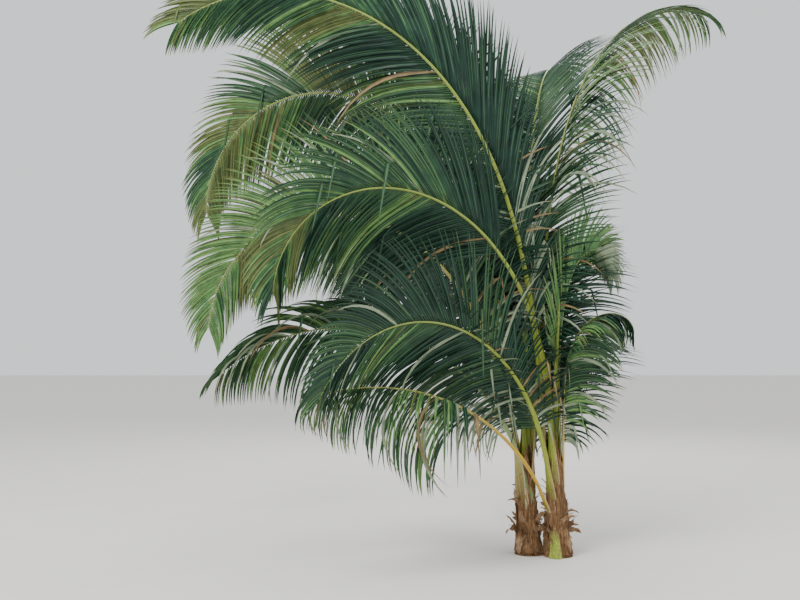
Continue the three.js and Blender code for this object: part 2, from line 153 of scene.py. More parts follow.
# Each frond: its name, the stem it grows on, its height there, the side of the stem it is rooted on, its
# heading, how steeply it rises, how far it bends over by its tip, how late the bend comes, its length, how
# far its blade is rolled on edge, how far its leaflets hang, its kind, whose greens carry the painted shade
# or painted sunlight of its place in the crown, and the finish of its stalk.
FROND_KEYS = ("name", "stem", "z", "start", "heading", "rise", "droop", "late", "length", "roll", "hang",
              "kind", "stalk")
FRONDS = [
    ("top_left", "main", 0.600, 160, 182, 86, 125, 2.3, 5.40, 68, 0, "deep", "yellow_green"),
    ("mid_left", "main", 0.560, 243, 205, 89, 176, 1.8, 4.00, 70, 0.1, "arched", "yellow_green"),
    ("front_left", "main", 0.430, 228, 217, 83, 146, 1.3, 2.95, 66, 0, "shaded", "yellow_green"),
    ("lowest_left", "main", 0.320, 200, 212, 72, 88, 0.8, 2.44, 30, 1, "worn", "golden"),
    ("upper_left", "side", 0.600, 155, 155, 85, 178, 2.2, 5.55, 68, 0, "sunlit", "yellow_green"),
    ("far_left", "side", 0.420, 229, 159, 84, 170, 1.7, 4.60, 66, 0, "bright", "ochre"),
    ("low_left", "side", 0.370, 294, 196, 81, 123, 1.1, 3.08, 52, 0.5, "ageing", "grey_green"),
    ("top_right", "side", 0.590, 357, 20, 86, 101, 3.8, 4.50, -30, 0.8, "ragged", "yellow_green"),
    ("back_right", "main", 0.580, 48, 52, 90, 160, 3.3, 2.43, -62, 0, "young", "yellow_green"),
    ("low_right", "main", 0.440, 350, 338, 90, 190, 4.6, 1.78, -20, 1, "limp", "golden"),
    ("back", "main", 0.490, 108, 88, 83, 138, 1.8, 3.80, 20, 0, "shaded", "yellow_green"),
    ("low_back_right", "main", 0.390, 65, 78, 78, 135, 1.4, 2.50, -30, 0.5, "shaded", "ochre"),
    ("back_left", "side", 0.420, 100, 124, 78, 140, 1.8, 3.90, 45, 0, "shaded", "yellow_green"),
    ("low_back", "side", 0.315, 78, 103, 70, 130, 1.4, 2.90, -30, 0.6, "ageing", "ochre"),
    ("upright", "side", 0.600, 81, 72, 88, 105, 2.6, 4.60, -20, 0, "shaded", "yellow_green"),
    ("inner_back", "side", 0.450, 40, 78, 82, 150, 1.8, 3.50, -25, 0.1, "shaded", "yellow_green"),
]

# The kinds of frond: how much of it each of the four greens of LEAF_COLOURS takes, and how far that moves
# towards the lighter ones at its stalk and at its tip; how many leaflets of each hundred are pale, dry,
# missing, and snapped near the stalk; from which share of the blade on all are pale; how many degrees
# further the first ones bend; how far they spread, and their length and width; and where the first of them
# stand, as a share of the frond's length. The greens paint light and shade: the darker mixes of the shaded,
# deep and arched kinds are painted shade, the lighter mixes of the sunlit and bright kinds painted sunlight,
# a move to darker greens at the stalk is painted shade inside the crown, and a move to lighter ones at the
# tip is painted sunlight.
KIND_KEYS = ("greens", "shade_at_stalk", "sunlight_at_tip", "pale", "dry", "missing", "snapped", "pale_from", "limp",
             "spread", "length", "width", "first")
KINDS = {
    "shaded": ((54, 38, 5, 3), -0.1, 0.1, 1, 0.3, 1, 8, 2, 25, 1.0, 1.0, 1.0, 0.18),
    "deep": ((60, 24, 10, 6), -0.4, 0.35, 2.6, 0.3, 1, 16, 2, 60, 0.88, 1.0, 1.0, 0.2),
    "arched": ((64, 22, 13, 1), -0.4, 0.4, 2, 0.3, 1, 10, 2, 60, 0.88, 1.0, 1.0, 0.44),
    "sunlit": ((30, 30, 12, 28), -0.5, 0.25, 1.8, 0.6, 1, 6, 2, 25, 1.0, 1.0, 1.0, 0.24),
    "bright": ((16, 22, 50, 12), -0.5, 0.25, 2.4, 0.6, 1, 6, 2, 25, 1.0, 1.0, 1.0, 0.24),
    "ageing": ((36, 40, 14, 10), -0.2, 0.2, 4, 1.5, 6, 10, 2, 30, 1.0, 1.0, 1.0, 0.22),
    "worn": ((20, 34, 24, 22), 0, 0, 12, 4, 30, 0, 2, 0, 0.9, 0.95, 1.1, 0.42),
    "ragged": ((46, 30, 14, 10), -0.3, 0.3, 16, 1, 26, 12, 2, 30, 0.9, 1.0, 0.85, 0.46),
    "limp": ((40, 40, 14, 6), 0, 0, 6, 0.6, 14, 15, 2, 40, 0.85, 0.8, 1.2, 0.22),
    "young": ((0, 3, 96, 1), 0, 0, 0, 0, 0, 0, 0.78, 0, 0.62, 1.0, 1.25, 0.3),
}

# Leaf colours, sRGB: blade, midrib and tip.
LEAF_COLOURS = {
    "deep_green": ("112f26", "476c46", "2b442d"),
    "mid_green": ("234530", "68874b", "4a5e37"),
    "fresh_green": ("4a7443", "a2b060", "747f44"),
    "olive": ("4c5a34", "91954f", "706a40"),
    "pale": ("7b8a74", "a3a98a", "8d8361"),
    "dry": ("7d6a4c", "a0916e", "6b5840"),
}
PALE, DRY = 4, 5

# How greens are dealt out: where along the blade they move from those of the stalk to those of the tip, that
# is from painted shade to painted sunlight, and over how much of it, and how far slow waves and chance move
# a leaflet's.
GREENS_MOVE = {"from": 0.15, "over": 0.55, "waves": 0.4, "chance": 0.08}

# A leaflet's skin: the edges of its midrib, the scale of its mottling and the tints of its dark and light
# places, how far veins and midrib show, where its tip turns colour, the height of a vein, and its finish.
LEAF_SKIN = {
    "midrib": (0.03, 0.12), "mottle": 11.0, "dark": (0.72, 0.76, 0.74, 1), "light": (1.3, 1.25, 1.15, 1),
    "veins_show": 0.22, "midrib_shows": 0.8, "tip": (0.84, 1.0), "vein_height": 0.35, "rough": (0.42, 0.58),
    "bump": (0.4, 0.0006), "specular": 0.28,
}

# Stalk colours, sRGB: foot, stalk, rib and the dry margins near the foot.
STALK_COLOURS = {
    "yellow_green": ("6f6030", "8a9a30", "7f9242", "a98a66"),
    "golden": ("7a9046", "bd9c26", "93984a", "b5987a"),
    "grey_green": ("76845a", "84986a", "7c8a50", "c0a88c"),
    "ochre": ("72602f", "9a8f46", "84904c", "b29376"),
}

# A stalk's skin: the shares of its length over which its foot's colour ends and the rib's begins, how its
# streaks stretch, their scale, edges and tints, where the foot's margins and specks end, and its finish.
STALK_SKIN = {
    "foot_ends": (-0.02, 0.07), "rib_begins": (0.2, 0.62), "across": 5.0, "along": 9.0, "scale": 1.6,
    "edges": (0.36, 0.64), "dark": (0.66, 0.64, 0.6, 1), "light": (1.35, 1.28, 1.1, 1),
    "near_foot": (0.02, 0.16), "margin": (0.8, 0.97), "specks": 60.0, "speck_edges": (0.85, 1.0),
    "speck_shows": 0.5, "speck": "5a3a1e", "rough": (0.34, 0.52), "bump": (0.35, 0.002), "coat": 0.12,
}

# Fibrous finishes: dark and light, sRGB, and how fine their streaks are across and up. Then what they share:
# the scale of their dark patches and how far those show, their roughness, low and high, and their relief.
FIBRES = {
    "stem bark": ("3f2a1e", "7d624c", 40.0, 24.0),
    "woven sheath": ("4a2f1b", "a27f58", 160.0, 9.0),
    "loose fibre": ("6e4c2f", "b39878", 90.0, 14.0),
}
FIBRE_SKIN = {"patches": 14.0, "patches_show": 0.55, "rough": (0.95, 0.75), "bump": (0.8, 0.004),
              "specular": 0.25}

# The unopened leaf that stands out of each stem's tip. It stands a hair off the tip, and is thickest below.
SPEARS = {
    "main": {"length": 1.2, "width": 0.040, "rise": 88, "droop": 5, "heading": 280},
    "side": {"length": 1.15, "width": 0.036, "rise": 88, "droop": 6, "heading": 100},
}
SPEAR_GAP = 0.0004
SPEAR_TIP = 0.0012
SPEAR_TWIST = 2.2
SPEAR_RINGS = 60
SPEAR_PLEATS = 7
PLEAT_DEPTH = 0.13
SIDES_PER_PLEAT = 6

# Old leaf bases round the foot of each stem: the stem, the side they stand on, the angle they cover, their
# height, how far their top leans out, and how deep their top edge is torn.
BOOT_KEYS = ("stem", "at", "span", "height", "lean", "torn")
BOOTS = {
    "boot_main_left": ("main", 208, 46, 0.23, 0.024, 0.26),
    "boot_main_front": ("main", 300, 54, 0.60, 0.012, 0.14),
    "boot_main_right": ("main", 348, 40, 0.44, 0.016, 0.2),
    "boot_main_back_right": ("main", 36, 54, 0.42, 0.034, 0.2),
    "boot_main_back": ("main", 97, 56, 0.33, 0.030, 0.24),
    "boot_main_inside": ("main", 160, 48, 0.26, 0.006, 0.2),
    "boot_side_left": ("side", 172, 60, 0.50, 0.024, 0.16),
    "boot_side_front": ("side", 243, 66, 0.22, 0.026, 0.28),
    "boot_side_inside": ("side", 312, 58, 0.21, 0.006, 0.24),
    "boot_side_right": ("side", 18, 56, 0.44, 0.014, 0.14),
    "boot_side_back": ("side", 93, 70, 0.30, 0.030, 0.22),
}
BOOT_THICK = {"foot": 0.011, "top": 0.004}
BOOT_SINK = 0.006
BOOT_NARROWS = 0.35
BOOT_COLUMNS = 56
BOOT_ROWS = 30

# A leaf base's ribs, coarse and fine: how high, and how close across it. How far its top edge frills. Its
# tears at the top: how deep, how many across it, and their row of the noise.
BOOT_RIBS = ((0.0016, 95), (0.001, 211))
BOOT_FRILL = 0.018
BOOT_TEARS = ((1, 9, 0.3), (0.6, 31, 4.1))
TEAR_GAIN = 1.3
DEEPEST_TEAR = 1.2

# Loose strands on each leaf base: where they begin, how far they run up, how high they reach, how they slant
# and how far out they may lie, all as shares of it; their distance from it, how far they lift and spread
# beyond its top, and how their thickness varies and tapers.
STRANDS_PER_BOOT = 110
STRAND_POINTS = 9
STRAND_SIDES = 4
STRAND_RADIUS = 0.0009
STRAND_WANDER = 0.006
STRAND_WAVES = 28.0
STRANDS = {"low": (0.03, 0.85), "run": (0.15, 0.5), "top": 1.06, "slant": (0.05, 0.3), "edge": 0.48,
           "off": 0.0012, "lift": 0.004, "spread": (0.1, 0.5), "thin": (0.6, 1.3), "taper": 0.6}

# The woven cloth that wraps each stem and the feet of its stalks: its height, and where its edge lies. Then
# how far round it goes, its distance from the stem, how far it winds outwards and flares at its top, and its
# tears and creases: how deep, and how fine they are round the stem, and up it or their row of the noise.
SLEEVES = {
    "main": {"low": 0.02, "high": 0.92, "edge": 282},
    "side": {"low": 0.02, "high": 0.84, "edge": 206},
}
SLEEVE_TURN = 385
SLEEVE_OFF = {"stem": 0.017, "winds": 0.005, "flares": 0.01}
SLEEVE_TEARS = ((0.5, 1, 2.2), (0.12, 7, 5.1))
SLEEVE_CREASES = ((0.015, 2.5, 4), (0.006, 9, 11))
SLEEVE_COLUMNS = 180
SLEEVE_ROWS = 70
SLEEVE_THICK = 0.003

# Torn strips of leaf base on each stem, and how many of them are broad flaps that curl off near the foot.
# Sizes are given for flaps and then for the rest, and angles and the parts of the direction for all. Two in
# three point up.
STRIPS = {"main": 60, "side": 46}
FLAPS = {"main": 22, "side": 16}
STRIP_SIZES = {
    "length": ((0.08, 0.16), (0.05, 0.12)),
    "height": ((0.10, 0.30), (0.10, 0.56)),
    "half_width": ((0.014, 0.028), (0.005, 0.013)),
}
STRIP_ANGLES = {"bend": (20, 170), "twist": (-25, 25), "twist_on": (-60, 60), "fold": (-30, 30)}
STRIP_DIRECTION = {"sideways": (-0.5, 0.5), "upright": (0.5, 1.0), "outward": (0.15, 0.5)}
STRIP_OFF = 0.016
STRIP_CLEARS_GROUND = 1.05
STRIP_BEND_POWER = 1.3

# The green foot of a leaf that was cut off at the front of the main stem. Its colour runs along the stalk's.
STUB = {"stem": "main", "at": 252, "span": 52, "height": 0.2, "lean": 0.016, "thick": 0.024, "edge": 0.004,
        "out": 0.022}
STUB_SHARE = {"foot": 0.09, "falls": 0.1}
STUB_ROWS = 26
STUB_COLUMNS = 30

# Bark: its height above and depth below the stem's own face, the distance and width of its leaf scars and
# how they tilt, and its cracks: how deep, and how fine they are round the stem and up it.
BARK_RINGS = 150
BARK_SIDES = 120
BARK_SINK = 0.003
SCAR_STEP = 0.038
SCAR_HEIGHT = 0.004
SCAR_WIDTH = 0.16
SCAR_TILT = 0.006
BARK_CRACKS = ((0.0035, 9, 22), (0.002, 30, 60))

# The camera stands at the height of a person's eye on a low rise, and looks up a little.
CAMERA_PLACE = (-1.17, -7.5, 1.5)
CAMERA_PITCH = 3.03
CAMERA_LENS = 45
CAMERA_SENSOR = 36

# The studio: the floor's corners, its two tones and the surround's, and the lamps, each with its place, size
# and power, which all face the middle of the crown.
FLOOR = ((-40, -20, 0), (40, -20, 0), (40, 60, 0), (-40, 60, 0))
FLOOR_TONES = ("e6e2dc", "ebe8e2")
SURROUND = "eef1f3"
SURROUND_STRENGTH = 1.15
CROWN_MIDDLE = (-0.5, 0.3, 1.8)
LAMPS = {
    "key light": ((-5.0, -6.0, 9.0), 4.0, 900),
    "fill light": ((7.0, -5.0, 6.0), 6.0, 260),
    "back light": ((1.0, 8.0, 8.0), 5.0, 420),
}


# Small helpers

def lerp(a, b, t):
    return a + (b - a) * t


def ease(x):
    x = np.clip(x, 0, 1)
    return x * x * (3 - 2 * x)


def unit(vectors):
    return vectors / np.maximum(np.linalg.norm(vectors, axis=-1, keepdims=True), 1e-9)


def dot(a, b):
    return np.sum(a * b, axis=-1, keepdims=True)


def spokes(turn):
    """Level directions at some turns in radians."""
    return np.stack([np.cos(turn), np.sin(turn), 0 * turn], axis=-1)


def tangents(turn):
    """Level directions square to the spokes."""
    return np.stack([-np.sin(turn), np.cos(turn), 0 * turn], axis=-1)


def linear(code):
    """An sRGB hex code as the linear colour that a socket takes."""
    channels = [int(code[i:i + 2], 16) / 255 for i in (0, 2, 4)]
    return tuple(c / 12.92 if c <= 0.04045 else ((c + 0.055) / 1.055) ** 2.4 for c in channels) + (1,)


def wobble(x, y, z):
    """Smooth noise from -1 to 1 at one place."""
    return noise.noise(Vector((x, y, z)))


def folds(waves, turn, z):
    """The sum of noises round a stem at one place, each of a depth and a fineness round it and up it."""
    x, y = math.cos(turn), math.sin(turn)
    return sum(deep * wobble(x * around, y * around, z * up) for deep, around, up in waves)


def sheet_grid(rows, columns, low, high):
    """How far up, from 0 to 1, and how far across each point of a sheet lies."""
    return np.meshgrid(np.linspace(0, 1, rows), np.linspace(low, high, columns), indexing="ij")


def store(mesh, name, values):
    """Keeps a number or a direction for each point of a mesh."""
    values = np.asarray(values, dtype=np.float32)
    kind, field = ("FLOAT", "value") if values.ndim == 1 else ("FLOAT_VECTOR", "vector")
    mesh.attributes.new(name, kind, "POINT").data.foreach_set(field, values.ravel())


def mesh_from(name, points, quads):
    mesh = bpy.data.meshes.new(name)
    mesh.vertices.add(len(points))
    mesh.vertices.foreach_set("co", np.asarray(points, dtype=np.float32).ravel())
    mesh.loops.add(quads.size)
    mesh.loops.foreach_set("vertex_index", np.asarray(quads, dtype=np.int32).ravel())
    mesh.polygons.add(len(quads))
    mesh.polygons.foreach_set("loop_start", np.arange(0, quads.size, 4, dtype=np.int32))
    mesh.update(calc_edges=True)
    mesh.shade_smooth()
    return mesh


def tube_walls(rings, sides):
    """The faces between rings of points that follow one another and are closed round."""
    ring = np.arange(rings - 1)[:, None] * sides
    side = np.arange(sides)[None, :]
    after = (side + 1) % sides
    walls = np.stack([ring + side, ring + after, ring + sides + after, ring + sides + side], axis=2)
    return walls.reshape(-1, 4)


def stand(name, data):
    """A new object in the scene."""
    made = bpy.data.objects.new(name, data)
    bpy.context.scene.collection.objects.link(made)
    return made


def show(name, mesh, materials):
    mesh.materials.clear()
    for material in materials:
        mesh.materials.append(material)
    return stand(name, mesh)


def settle(piece, slot, *nodes):
    """The finished piece moves with the palm and stands for its nodes; its slot is not used."""
    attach(piece, "root")
    if nodes:
        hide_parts(*nodes)


# Node helpers

def feed(tree, node, values):
    """Links each of a node's inputs to a socket or sets it to a value."""
    for key, value in values.items():
        if isinstance(value, bpy.types.NodeSocket):
            tree.links.new(value, node.inputs[key])
        else:
            node.inputs[key].default_value = value


def add_node(tree, kind, inputs=None, **settings):
    node = tree.nodes.new(kind)
    for name, value in settings.items():
        setattr(node, name, value)
    feed(tree, node, inputs or {})
    return node


def step(tree, kind, inputs=None, output=0, **settings):
    """One output of a new node."""
    return add_node(tree, kind, inputs, **settings).outputs[output]


def calc(tree, operation, *values):
    return step(tree, "ShaderNodeMath", dict(enumerate(values)), operation=operation)


def product(tree, value, *others):
    for other in others:
        value = calc(tree, "MULTIPLY", value, other)
    return value


def calc_vector(tree, operation, *values):
    return step(tree, "ShaderNodeVectorMath", dict(enumerate(values)), operation=operation)


def scaled(tree, vector, factor):
    return step(tree, "ShaderNodeVectorMath", {0: vector, "Scale": factor}, operation="SCALE")


def ramp(tree, value, low, high, to_low=0.0, to_high=1.0):
    """The value mapped smoothly from one range to another, and held at its ends."""
    inputs = {"Value": value, "From Min": low, "From Max": high, "To Min": to_low, "To Max": to_high}
    return step(tree, "ShaderNodeMapRange", inputs, "Result", interpolation_type="SMOOTHSTEP")


def cloud(tree, place, scale, detail):
    return step(tree, "ShaderNodeTexNoise", {"Vector": place, "Scale": scale, "Detail": detail}, "Fac")


def mix_colour(tree, factor, first, second, blend="MIX"):
    inputs = {0: factor, 6: first, 7: second}
    return step(tree, "ShaderNodeMix", inputs, 2, data_type="RGBA", blend_type=blend)


def dark_and_light(tree, colour, skin):
    """A colour in the dark and in the light tint of a skin."""
    return [mix_colour(tree, 1.0, colour, skin[tint], "MULTIPLY") for tint in ("dark", "light")]


def new_group(name, kind, inputs, outputs):
    """A node group with its named sockets, and its input and output nodes."""
    group = bpy.data.node_groups.new(name, kind)
    for socket, socket_type, value in inputs:
        made = group.interface.new_socket(socket, in_out="INPUT", socket_type="NodeSocket" + socket_type)
        if value is not None:
            made.default_value = value
    for socket, socket_type in outputs:
        group.interface.new_socket(socket, in_out="OUTPUT", socket_type="NodeSocket" + socket_type)
    return group, group.nodes.new("NodeGroupInput").outputs, group.nodes.new("NodeGroupOutput")


def end_tree(tree, geometry, given, result):
    """Closes a Geometry Nodes tree with plain geometry in the material asked for."""
    geometry = step(tree, "GeometryNodeRealizeInstances", {"Geometry": geometry})
    inputs = {"Geometry": geometry, "Material": given["Material"]}
    feed(tree, result, {"Geometry": step(tree, "GeometryNodeSetMaterial", inputs)})
    return tree


def grow(name, tree, mesh, values):
    """Runs a Geometry Nodes tree on a mesh and returns the result as a plain mesh."""
    holder = stand(name, mesh)
    modifier = holder.modifiers.new("grow", "NODES")
    modifier.node_group = tree
    for item in tree.interface.items_tree:
        if item.in_out == "INPUT" and item.name in values:
            modifier[item.identifier] = values[item.name]
    holder.update_tag()
    grown = holder.evaluated_get(bpy.context.evaluated_depsgraph_get())
    made = bpy.data.meshes.new_from_object(grown)
    holder.modifiers.remove(modifier)
    bpy.data.objects.remove(holder)
    made.name = name
    return made


def strip_attributes(mesh, *names):
    """Removes what only the sweep reads and no material does."""
    for name in names:
        if name in mesh.attributes:
            mesh.attributes.remove(mesh.attributes[name])


# The palm's rule: stems, ribs and leaflets

def stem_radius(stem, z):
    up = np.clip(z / stem["height"], 0, 1)
    flare = stem["flare"] * np.exp(-np.maximum(z, 0) / FLARE_HEIGHT)
    return lerp(stem["foot"], stem["tip"], up) + flare


def stem_axis(stem, z):
    up = z / stem["height"]
    return np.stack([stem["x"] + stem["lean_x"] * up, stem["y"] + stem["lean_y"] * up, z + 0 * up], axis=-1)


def round_stem(stem, z, turn, radius):
    """Points at heights z and radii about the stem's axis, each at its own turn in radians."""
    return stem_axis(stem, z) + spokes(turn) * radius[..., None]


def plan_frond(row):
    """A frond with its scale, and the middle line and directions of its rib at many places."""
    frond = dict(zip(FROND_KEYS, row))
    frond["kind"] = dict(zip(KIND_KEYS, KINDS[frond["kind"]]))
    frond["scale"] = min(FROND_SCALE["most"], (frond["length"] / FULL_FROND) ** FROND_SCALE["power"])
    start = math.radians(frond["start"])
    heading = math.radians(frond["heading"])
    frond["outward"] = np.array([math.cos(start), math.sin(start), 0])
    stem = STEMS[frond["stem"]]
    reach = stem_radius(stem, frond["z"]) + frond["scale"] * RIB_DEPTH["root"] * STALK_STANDS_OFF
    foot = stem_axis(stem, np.float64(frond["z"])) + frond["outward"] * reach
    shares = np.linspace(0, 1, CURVE_STEPS + 1)
    rise = np.radians(frond["rise"] - frond["droop"] * shares ** frond["late"])
    roll = np.radians(frond["roll"]) * ease(shares / ROLL_DONE_SHARE)
    level = np.cos(rise)
    along = np.stack([level * math.cos(heading), level * math.sin(heading), np.sin(rise)], axis=1)
    flat = np.array([-math.sin(heading), math.cos(heading), 0])
    above = np.cross(along, flat)
    side = flat * np.cos(roll)[:, None] + above * np.sin(roll)[:, None]
    tangent = np.array([-math.sin(start), math.cos(start), 0])
    tangent *= 1 if tangent @ flat > 0 else -1
    side = lerp(side, tangent, 1 - ease(shares / TWIST_DONE_SHARE)[:, None])
    side = unit(side - dot(side, along) * along)
    steps = np.vstack([np.zeros(3), along[:-1] * frond["length"] / CURVE_STEPS])
    at = foot + np.cumsum(steps, axis=0)
    frond["curve"] = {"at": at, "along": along, "side": side, "up": np.cross(along, side)}
    return frond


def frames_at(frond, shares):
    """The rib's middle line and its along, side and up directions at some shares of its length."""
    known = np.linspace(0, 1, CURVE_STEPS + 1)
    found = []
    for key in ("at", "along", "side", "up"):
        values = frond["curve"][key]
        found.append(np.stack([np.interp(shares, known, values[:, k]) for k in range(3)], axis=1))
    return found


def rib_size(size, shares, scale):
    stalk = np.clip(shares / STALK_SHARE, 0, 1)
    low = lerp(size["root"], size["stalk"], np.sqrt(stalk))
    high = lerp(size["stalk"], size["tip"], np.clip((shares - STALK_SHARE) / (1 - STALK_SHARE), 0, 1))
    return scale * np.where(shares < STALK_SHARE, low, high)


def rib_width(frond, shares):
    """The rib's full width, which falls off a little faster in the blade than its strength does."""
    thinned = ease((shares - RIB_THINNING["from"]) / RIB_THINNING["over"])
    return rib_size(RIB_WIDTH, shares, frond["scale"]) * lerp(1, RIB_THINNING["to"], thinned)


def leaflet_length(blade):
    """Length of a leaflet by its place, from 0 at the end of the stalk to 1 at the tip."""
    growth, dwindling = LEAFLET_GROWTH, LEAFLET_DWINDLING
    on_stalk = lerp(1, growth["on_stalk"], ease(-blade / growth["stalk_reach"]))
    grown = lerp(growth["first"], 1, ease(blade / growth["full_at"])) * on_stalk
    beyond = np.maximum(0, (blade - dwindling["from"]) / (1 - dwindling["from"]))
    return LONGEST_LEAFLET * grown * (1 - dwindling["by"] * beyond ** dwindling["power"])


def by_hang(frond, values):
    """A value between those of a firm young frond and of one whose leaflets hang."""
    return lerp(values["firm"], values["hanging"], frond["hang"])


# Geometry Nodes trees

def limb_tree():
    """Sweeps a channelled or pleated section along a path whose points hold the limb's frame and size."""
    inputs = [
        ("Geometry", "Geometry", None),
        ("Sides", "Int", 12),
        ("Channel", "Float", 0.5),
        ("Pleats", "Float", 0.0),
        ("Pleat Depth", "Float", 0.0),
        ("Material", "Material", None),
    ]
    tree, given, result = new_group("limb sweep", "GeometryNodeTree", inputs, [("Geometry", "Geometry")])
    position = step(tree, "GeometryNodeInputPosition")

    def stored(name, data_type="FLOAT"):
        return step(tree, "GeometryNodeInputNamedAttribute", {"Name": name}, data_type=data_type)

    def keep_place(geometry, name):
        inputs = {"Geometry": geometry, "Name": name, "Value": position}
        return step(tree, "GeometryNodeStoreNamedAttribute", inputs, data_type="FLOAT_VECTOR", domain="POINT")

    path = keep_place(step(tree, "GeometryNodeMeshToCurve", {"Mesh": given["Geometry"]}), "centre")
    circle = step(tree, "GeometryNodeCurvePrimitiveCircle", {"Resolution": given["Sides"]})
    circle = keep_place(circle, "section")
    tube = step(tree, "GeometryNodeCurveToMesh", {"Curve": path, "Profile Curve": circle, "Fill Caps": True})

    section = add_node(tree, "ShaderNodeSeparateXYZ", {0: stored("section", "FLOAT_VECTOR")}).outputs
    wide, deep = section[0], section[1]
    turn = calc(tree, "ARCTAN2", deep, wide)
    hollow = calc(tree, "SUBTRACT", 1.0, product(tree, wide, wide))
    hollow = product(tree, hollow, stored("channel"), given["Channel"])
    above = calc(tree, "MAXIMUM", deep, 0.0)
    deep = calc(tree, "SUBTRACT", deep, product(tree, above, hollow))
    pleat = calc(tree, "COSINE", product(tree, turn, given["Pleats"]))
    swell = calc(tree, "ADD", 1.0, product(tree, pleat, given["Pleat Depth"]))
    wide = product(tree, wide, swell, stored("half_width"))
    deep = product(tree, deep, swell, stored("half_depth"))
    place = stored("centre", "FLOAT_VECTOR")
    for direction, distance in (("side", wide), ("up", deep)):
        place = calc_vector(tree, "ADD", place, scaled(tree, stored(direction, "FLOAT_VECTOR"), distance))
    limb = step(tree, "GeometryNodeSetPosition", {"Geometry": tube, "Position": place})
    limb = step(tree, "GeometryNodeSetShadeSmooth", {"Geometry": limb})
    return end_tree(tree, limb, given, result)


def strand_tree():
    """Turns paths into thin tapering strands that wander a little."""
    inputs = [
        ("Geometry", "Geometry", None),
        ("Radius", "Float", STRAND_RADIUS),
        ("Sides", "Int", 3),
        ("Wander", "Float", 0.003),
        ("Seed", "Int", SEED),
        ("Material", "Material", None),
    ]
    tree, given, result = new_group("fibre strands", "GeometryNodeTree", inputs, [("Geometry", "Geometry")])
    shift = calc_vector(tree, "ADD", step(tree, "GeometryNodeInputPosition"), given["Seed"])
    waves = step(tree, "ShaderNodeTexNoise", {"Vector": shift, "Scale": STRAND_WAVES}, "Color")
    offset = scaled(tree, calc_vector(tree, "SUBTRACT", waves, (0.5, 0.5, 0.5)), given["Wander"])
    strands = step(tree, "GeometryNodeMeshToCurve", {"Mesh": given["Geometry"]})
    strands = step(tree, "GeometryNodeSetPosition", {"Geometry": strands, "Offset": offset})
    thin = step(tree, "GeometryNodeInputNamedAttribute", {"Name": "thin"}, data_type="FLOAT")
    sizes = {"Resolution": given["Sides"], "Radius": given["Radius"]}
    circle = step(tree, "GeometryNodeCurvePrimitiveCircle", sizes)
    inputs = {"Curve": strands, "Profile Curve": circle, "Scale": thin, "Fill Caps": True}
    return end_tree(tree, step(tree, "GeometryNodeCurveToMesh", inputs), given, result)


# Shader groups

def streak_group():
    """Fine streaks that run up a stem, coarse and fine ones together: a mask, and a height for a bump."""
    inputs = [("Across", "Float", 70.0), ("Up", "Float", 5.0), ("Sharpness", "Float", 0.5)]
    outputs = [("Mask", "Float"), ("Height", "Float")]
    group, given, result = new_group("upright streaks", "ShaderNodeTree", inputs, outputs)
    place = step(group, "ShaderNodeTexCoord", output="Object")
    stretch = {0: given["Across"], 1: given["Across"], 2: given["Up"]}
    stretched = calc_vector(group, "MULTIPLY", place, step(group, "ShaderNodeCombineXYZ", stretch))
    coarse = product(group, cloud(group, stretched, 1.0, 4.0), 0.6)
    fine = product(group, cloud(group, stretched, 3.2, 3.0), 0.4)
    both = calc(group, "ADD", coarse, fine)
    low = product(group, given["Sharpness"], 0.7)
    mask = ramp(group, both, low, calc(group, "SUBTRACT", 1.0, low))
    feed(group, result, {"Mask": mask, "Height": both})
    return group


def blotch_group():
    """Soft blotches of the size asked for, from 0 to 1."""
    inputs = [("Scale", "Float", 8.0), ("Amount", "Float", 1.0)]
    group, given, result = new_group("blotches", "ShaderNodeTree", inputs, [("Mask", "Float")])
    patches = cloud(group, step(group, "ShaderNodeTexCoord", output="Object"), given["Scale"], 3.0)
    feed(group, result, {"Mask": product(group, ramp(group, patches, 0.35, 0.65), given["Amount"])})
    return group


def leaf_group(blotches):
    """A leaflet's veins, pale midrib, mottling and tip, on its own map: across in X and along in Y."""
    skin = LEAF_SKIN
    inputs = [
        ("Blade", "Color", (0.1, 0.2, 0.1, 1)),
        ("Midrib", "Color", (0.3, 0.3, 0.1, 1)),
        ("Tip", "Color", (0.3, 0.2, 0.1, 1)),
        ("Veins", "Float", 13.0),
    ]
    outputs = [("Color", "Color"), ("Height", "Float"), ("Roughness", "Float")]
    group, given, result = new_group("leaflet blade", "ShaderNodeTree", inputs, outputs)
    leaf_map = step(group, "ShaderNodeUVMap", uv_map="leaflet")
    across, along = add_node(group, "ShaderNodeSeparateXYZ", {0: leaf_map}).outputs[:2]
    from_middle = calc(group, "ABSOLUTE", calc(group, "SUBTRACT", across, 0.5))
    midrib = ramp(group, from_middle, *skin["midrib"], 1.0, 0.0)
    waves = calc(group, "SINE", product(group, across, given["Veins"], 6.283))
    veins = calc(group, "ADD", product(group, waves, 0.5), 0.5)
    mottle = step(group, "ShaderNodeGroup", {"Scale": skin["mottle"], "Amount": 1.0}, node_tree=blotches)
    dark, light = dark_and_light(group, given["Blade"], skin)
    tone = mix_colour(group, mottle, dark, light)
    tone = mix_colour(group, product(group, veins, skin["veins_show"]), tone, light)
    tone = mix_colour(group, product(group, midrib, skin["midrib_shows"]), tone, given["Midrib"])
    tone = mix_colour(group, ramp(group, along, *skin["tip"]), tone, given["Tip"])
    height = calc(group, "ADD", product(group, veins, skin["vein_height"]), midrib)
    rough = ramp(group, mottle, 0.0, 1.0, *skin["rough"])
    feed(group, result, {"Color": tone, "Height": height, "Roughness": rough})
    return group


# Materials

def new_material(name):
    material = bpy.data.materials.new(name)
    material.use_nodes = True
    return material, material.node_tree, material.node_tree.nodes["Principled BSDF"]


def finish(tree, shader, colour, rough, height, relief):
    """Feeds the shader, with a bump of the strength and depth that relief gives."""
    strength, distance = relief
    normal = step(tree, "ShaderNodeBump", {"Height": height, "Strength": strength, "Distance": distance})
    feed(tree, shader, {"Base Color": colour, "Roughness": rough, "Normal": normal})


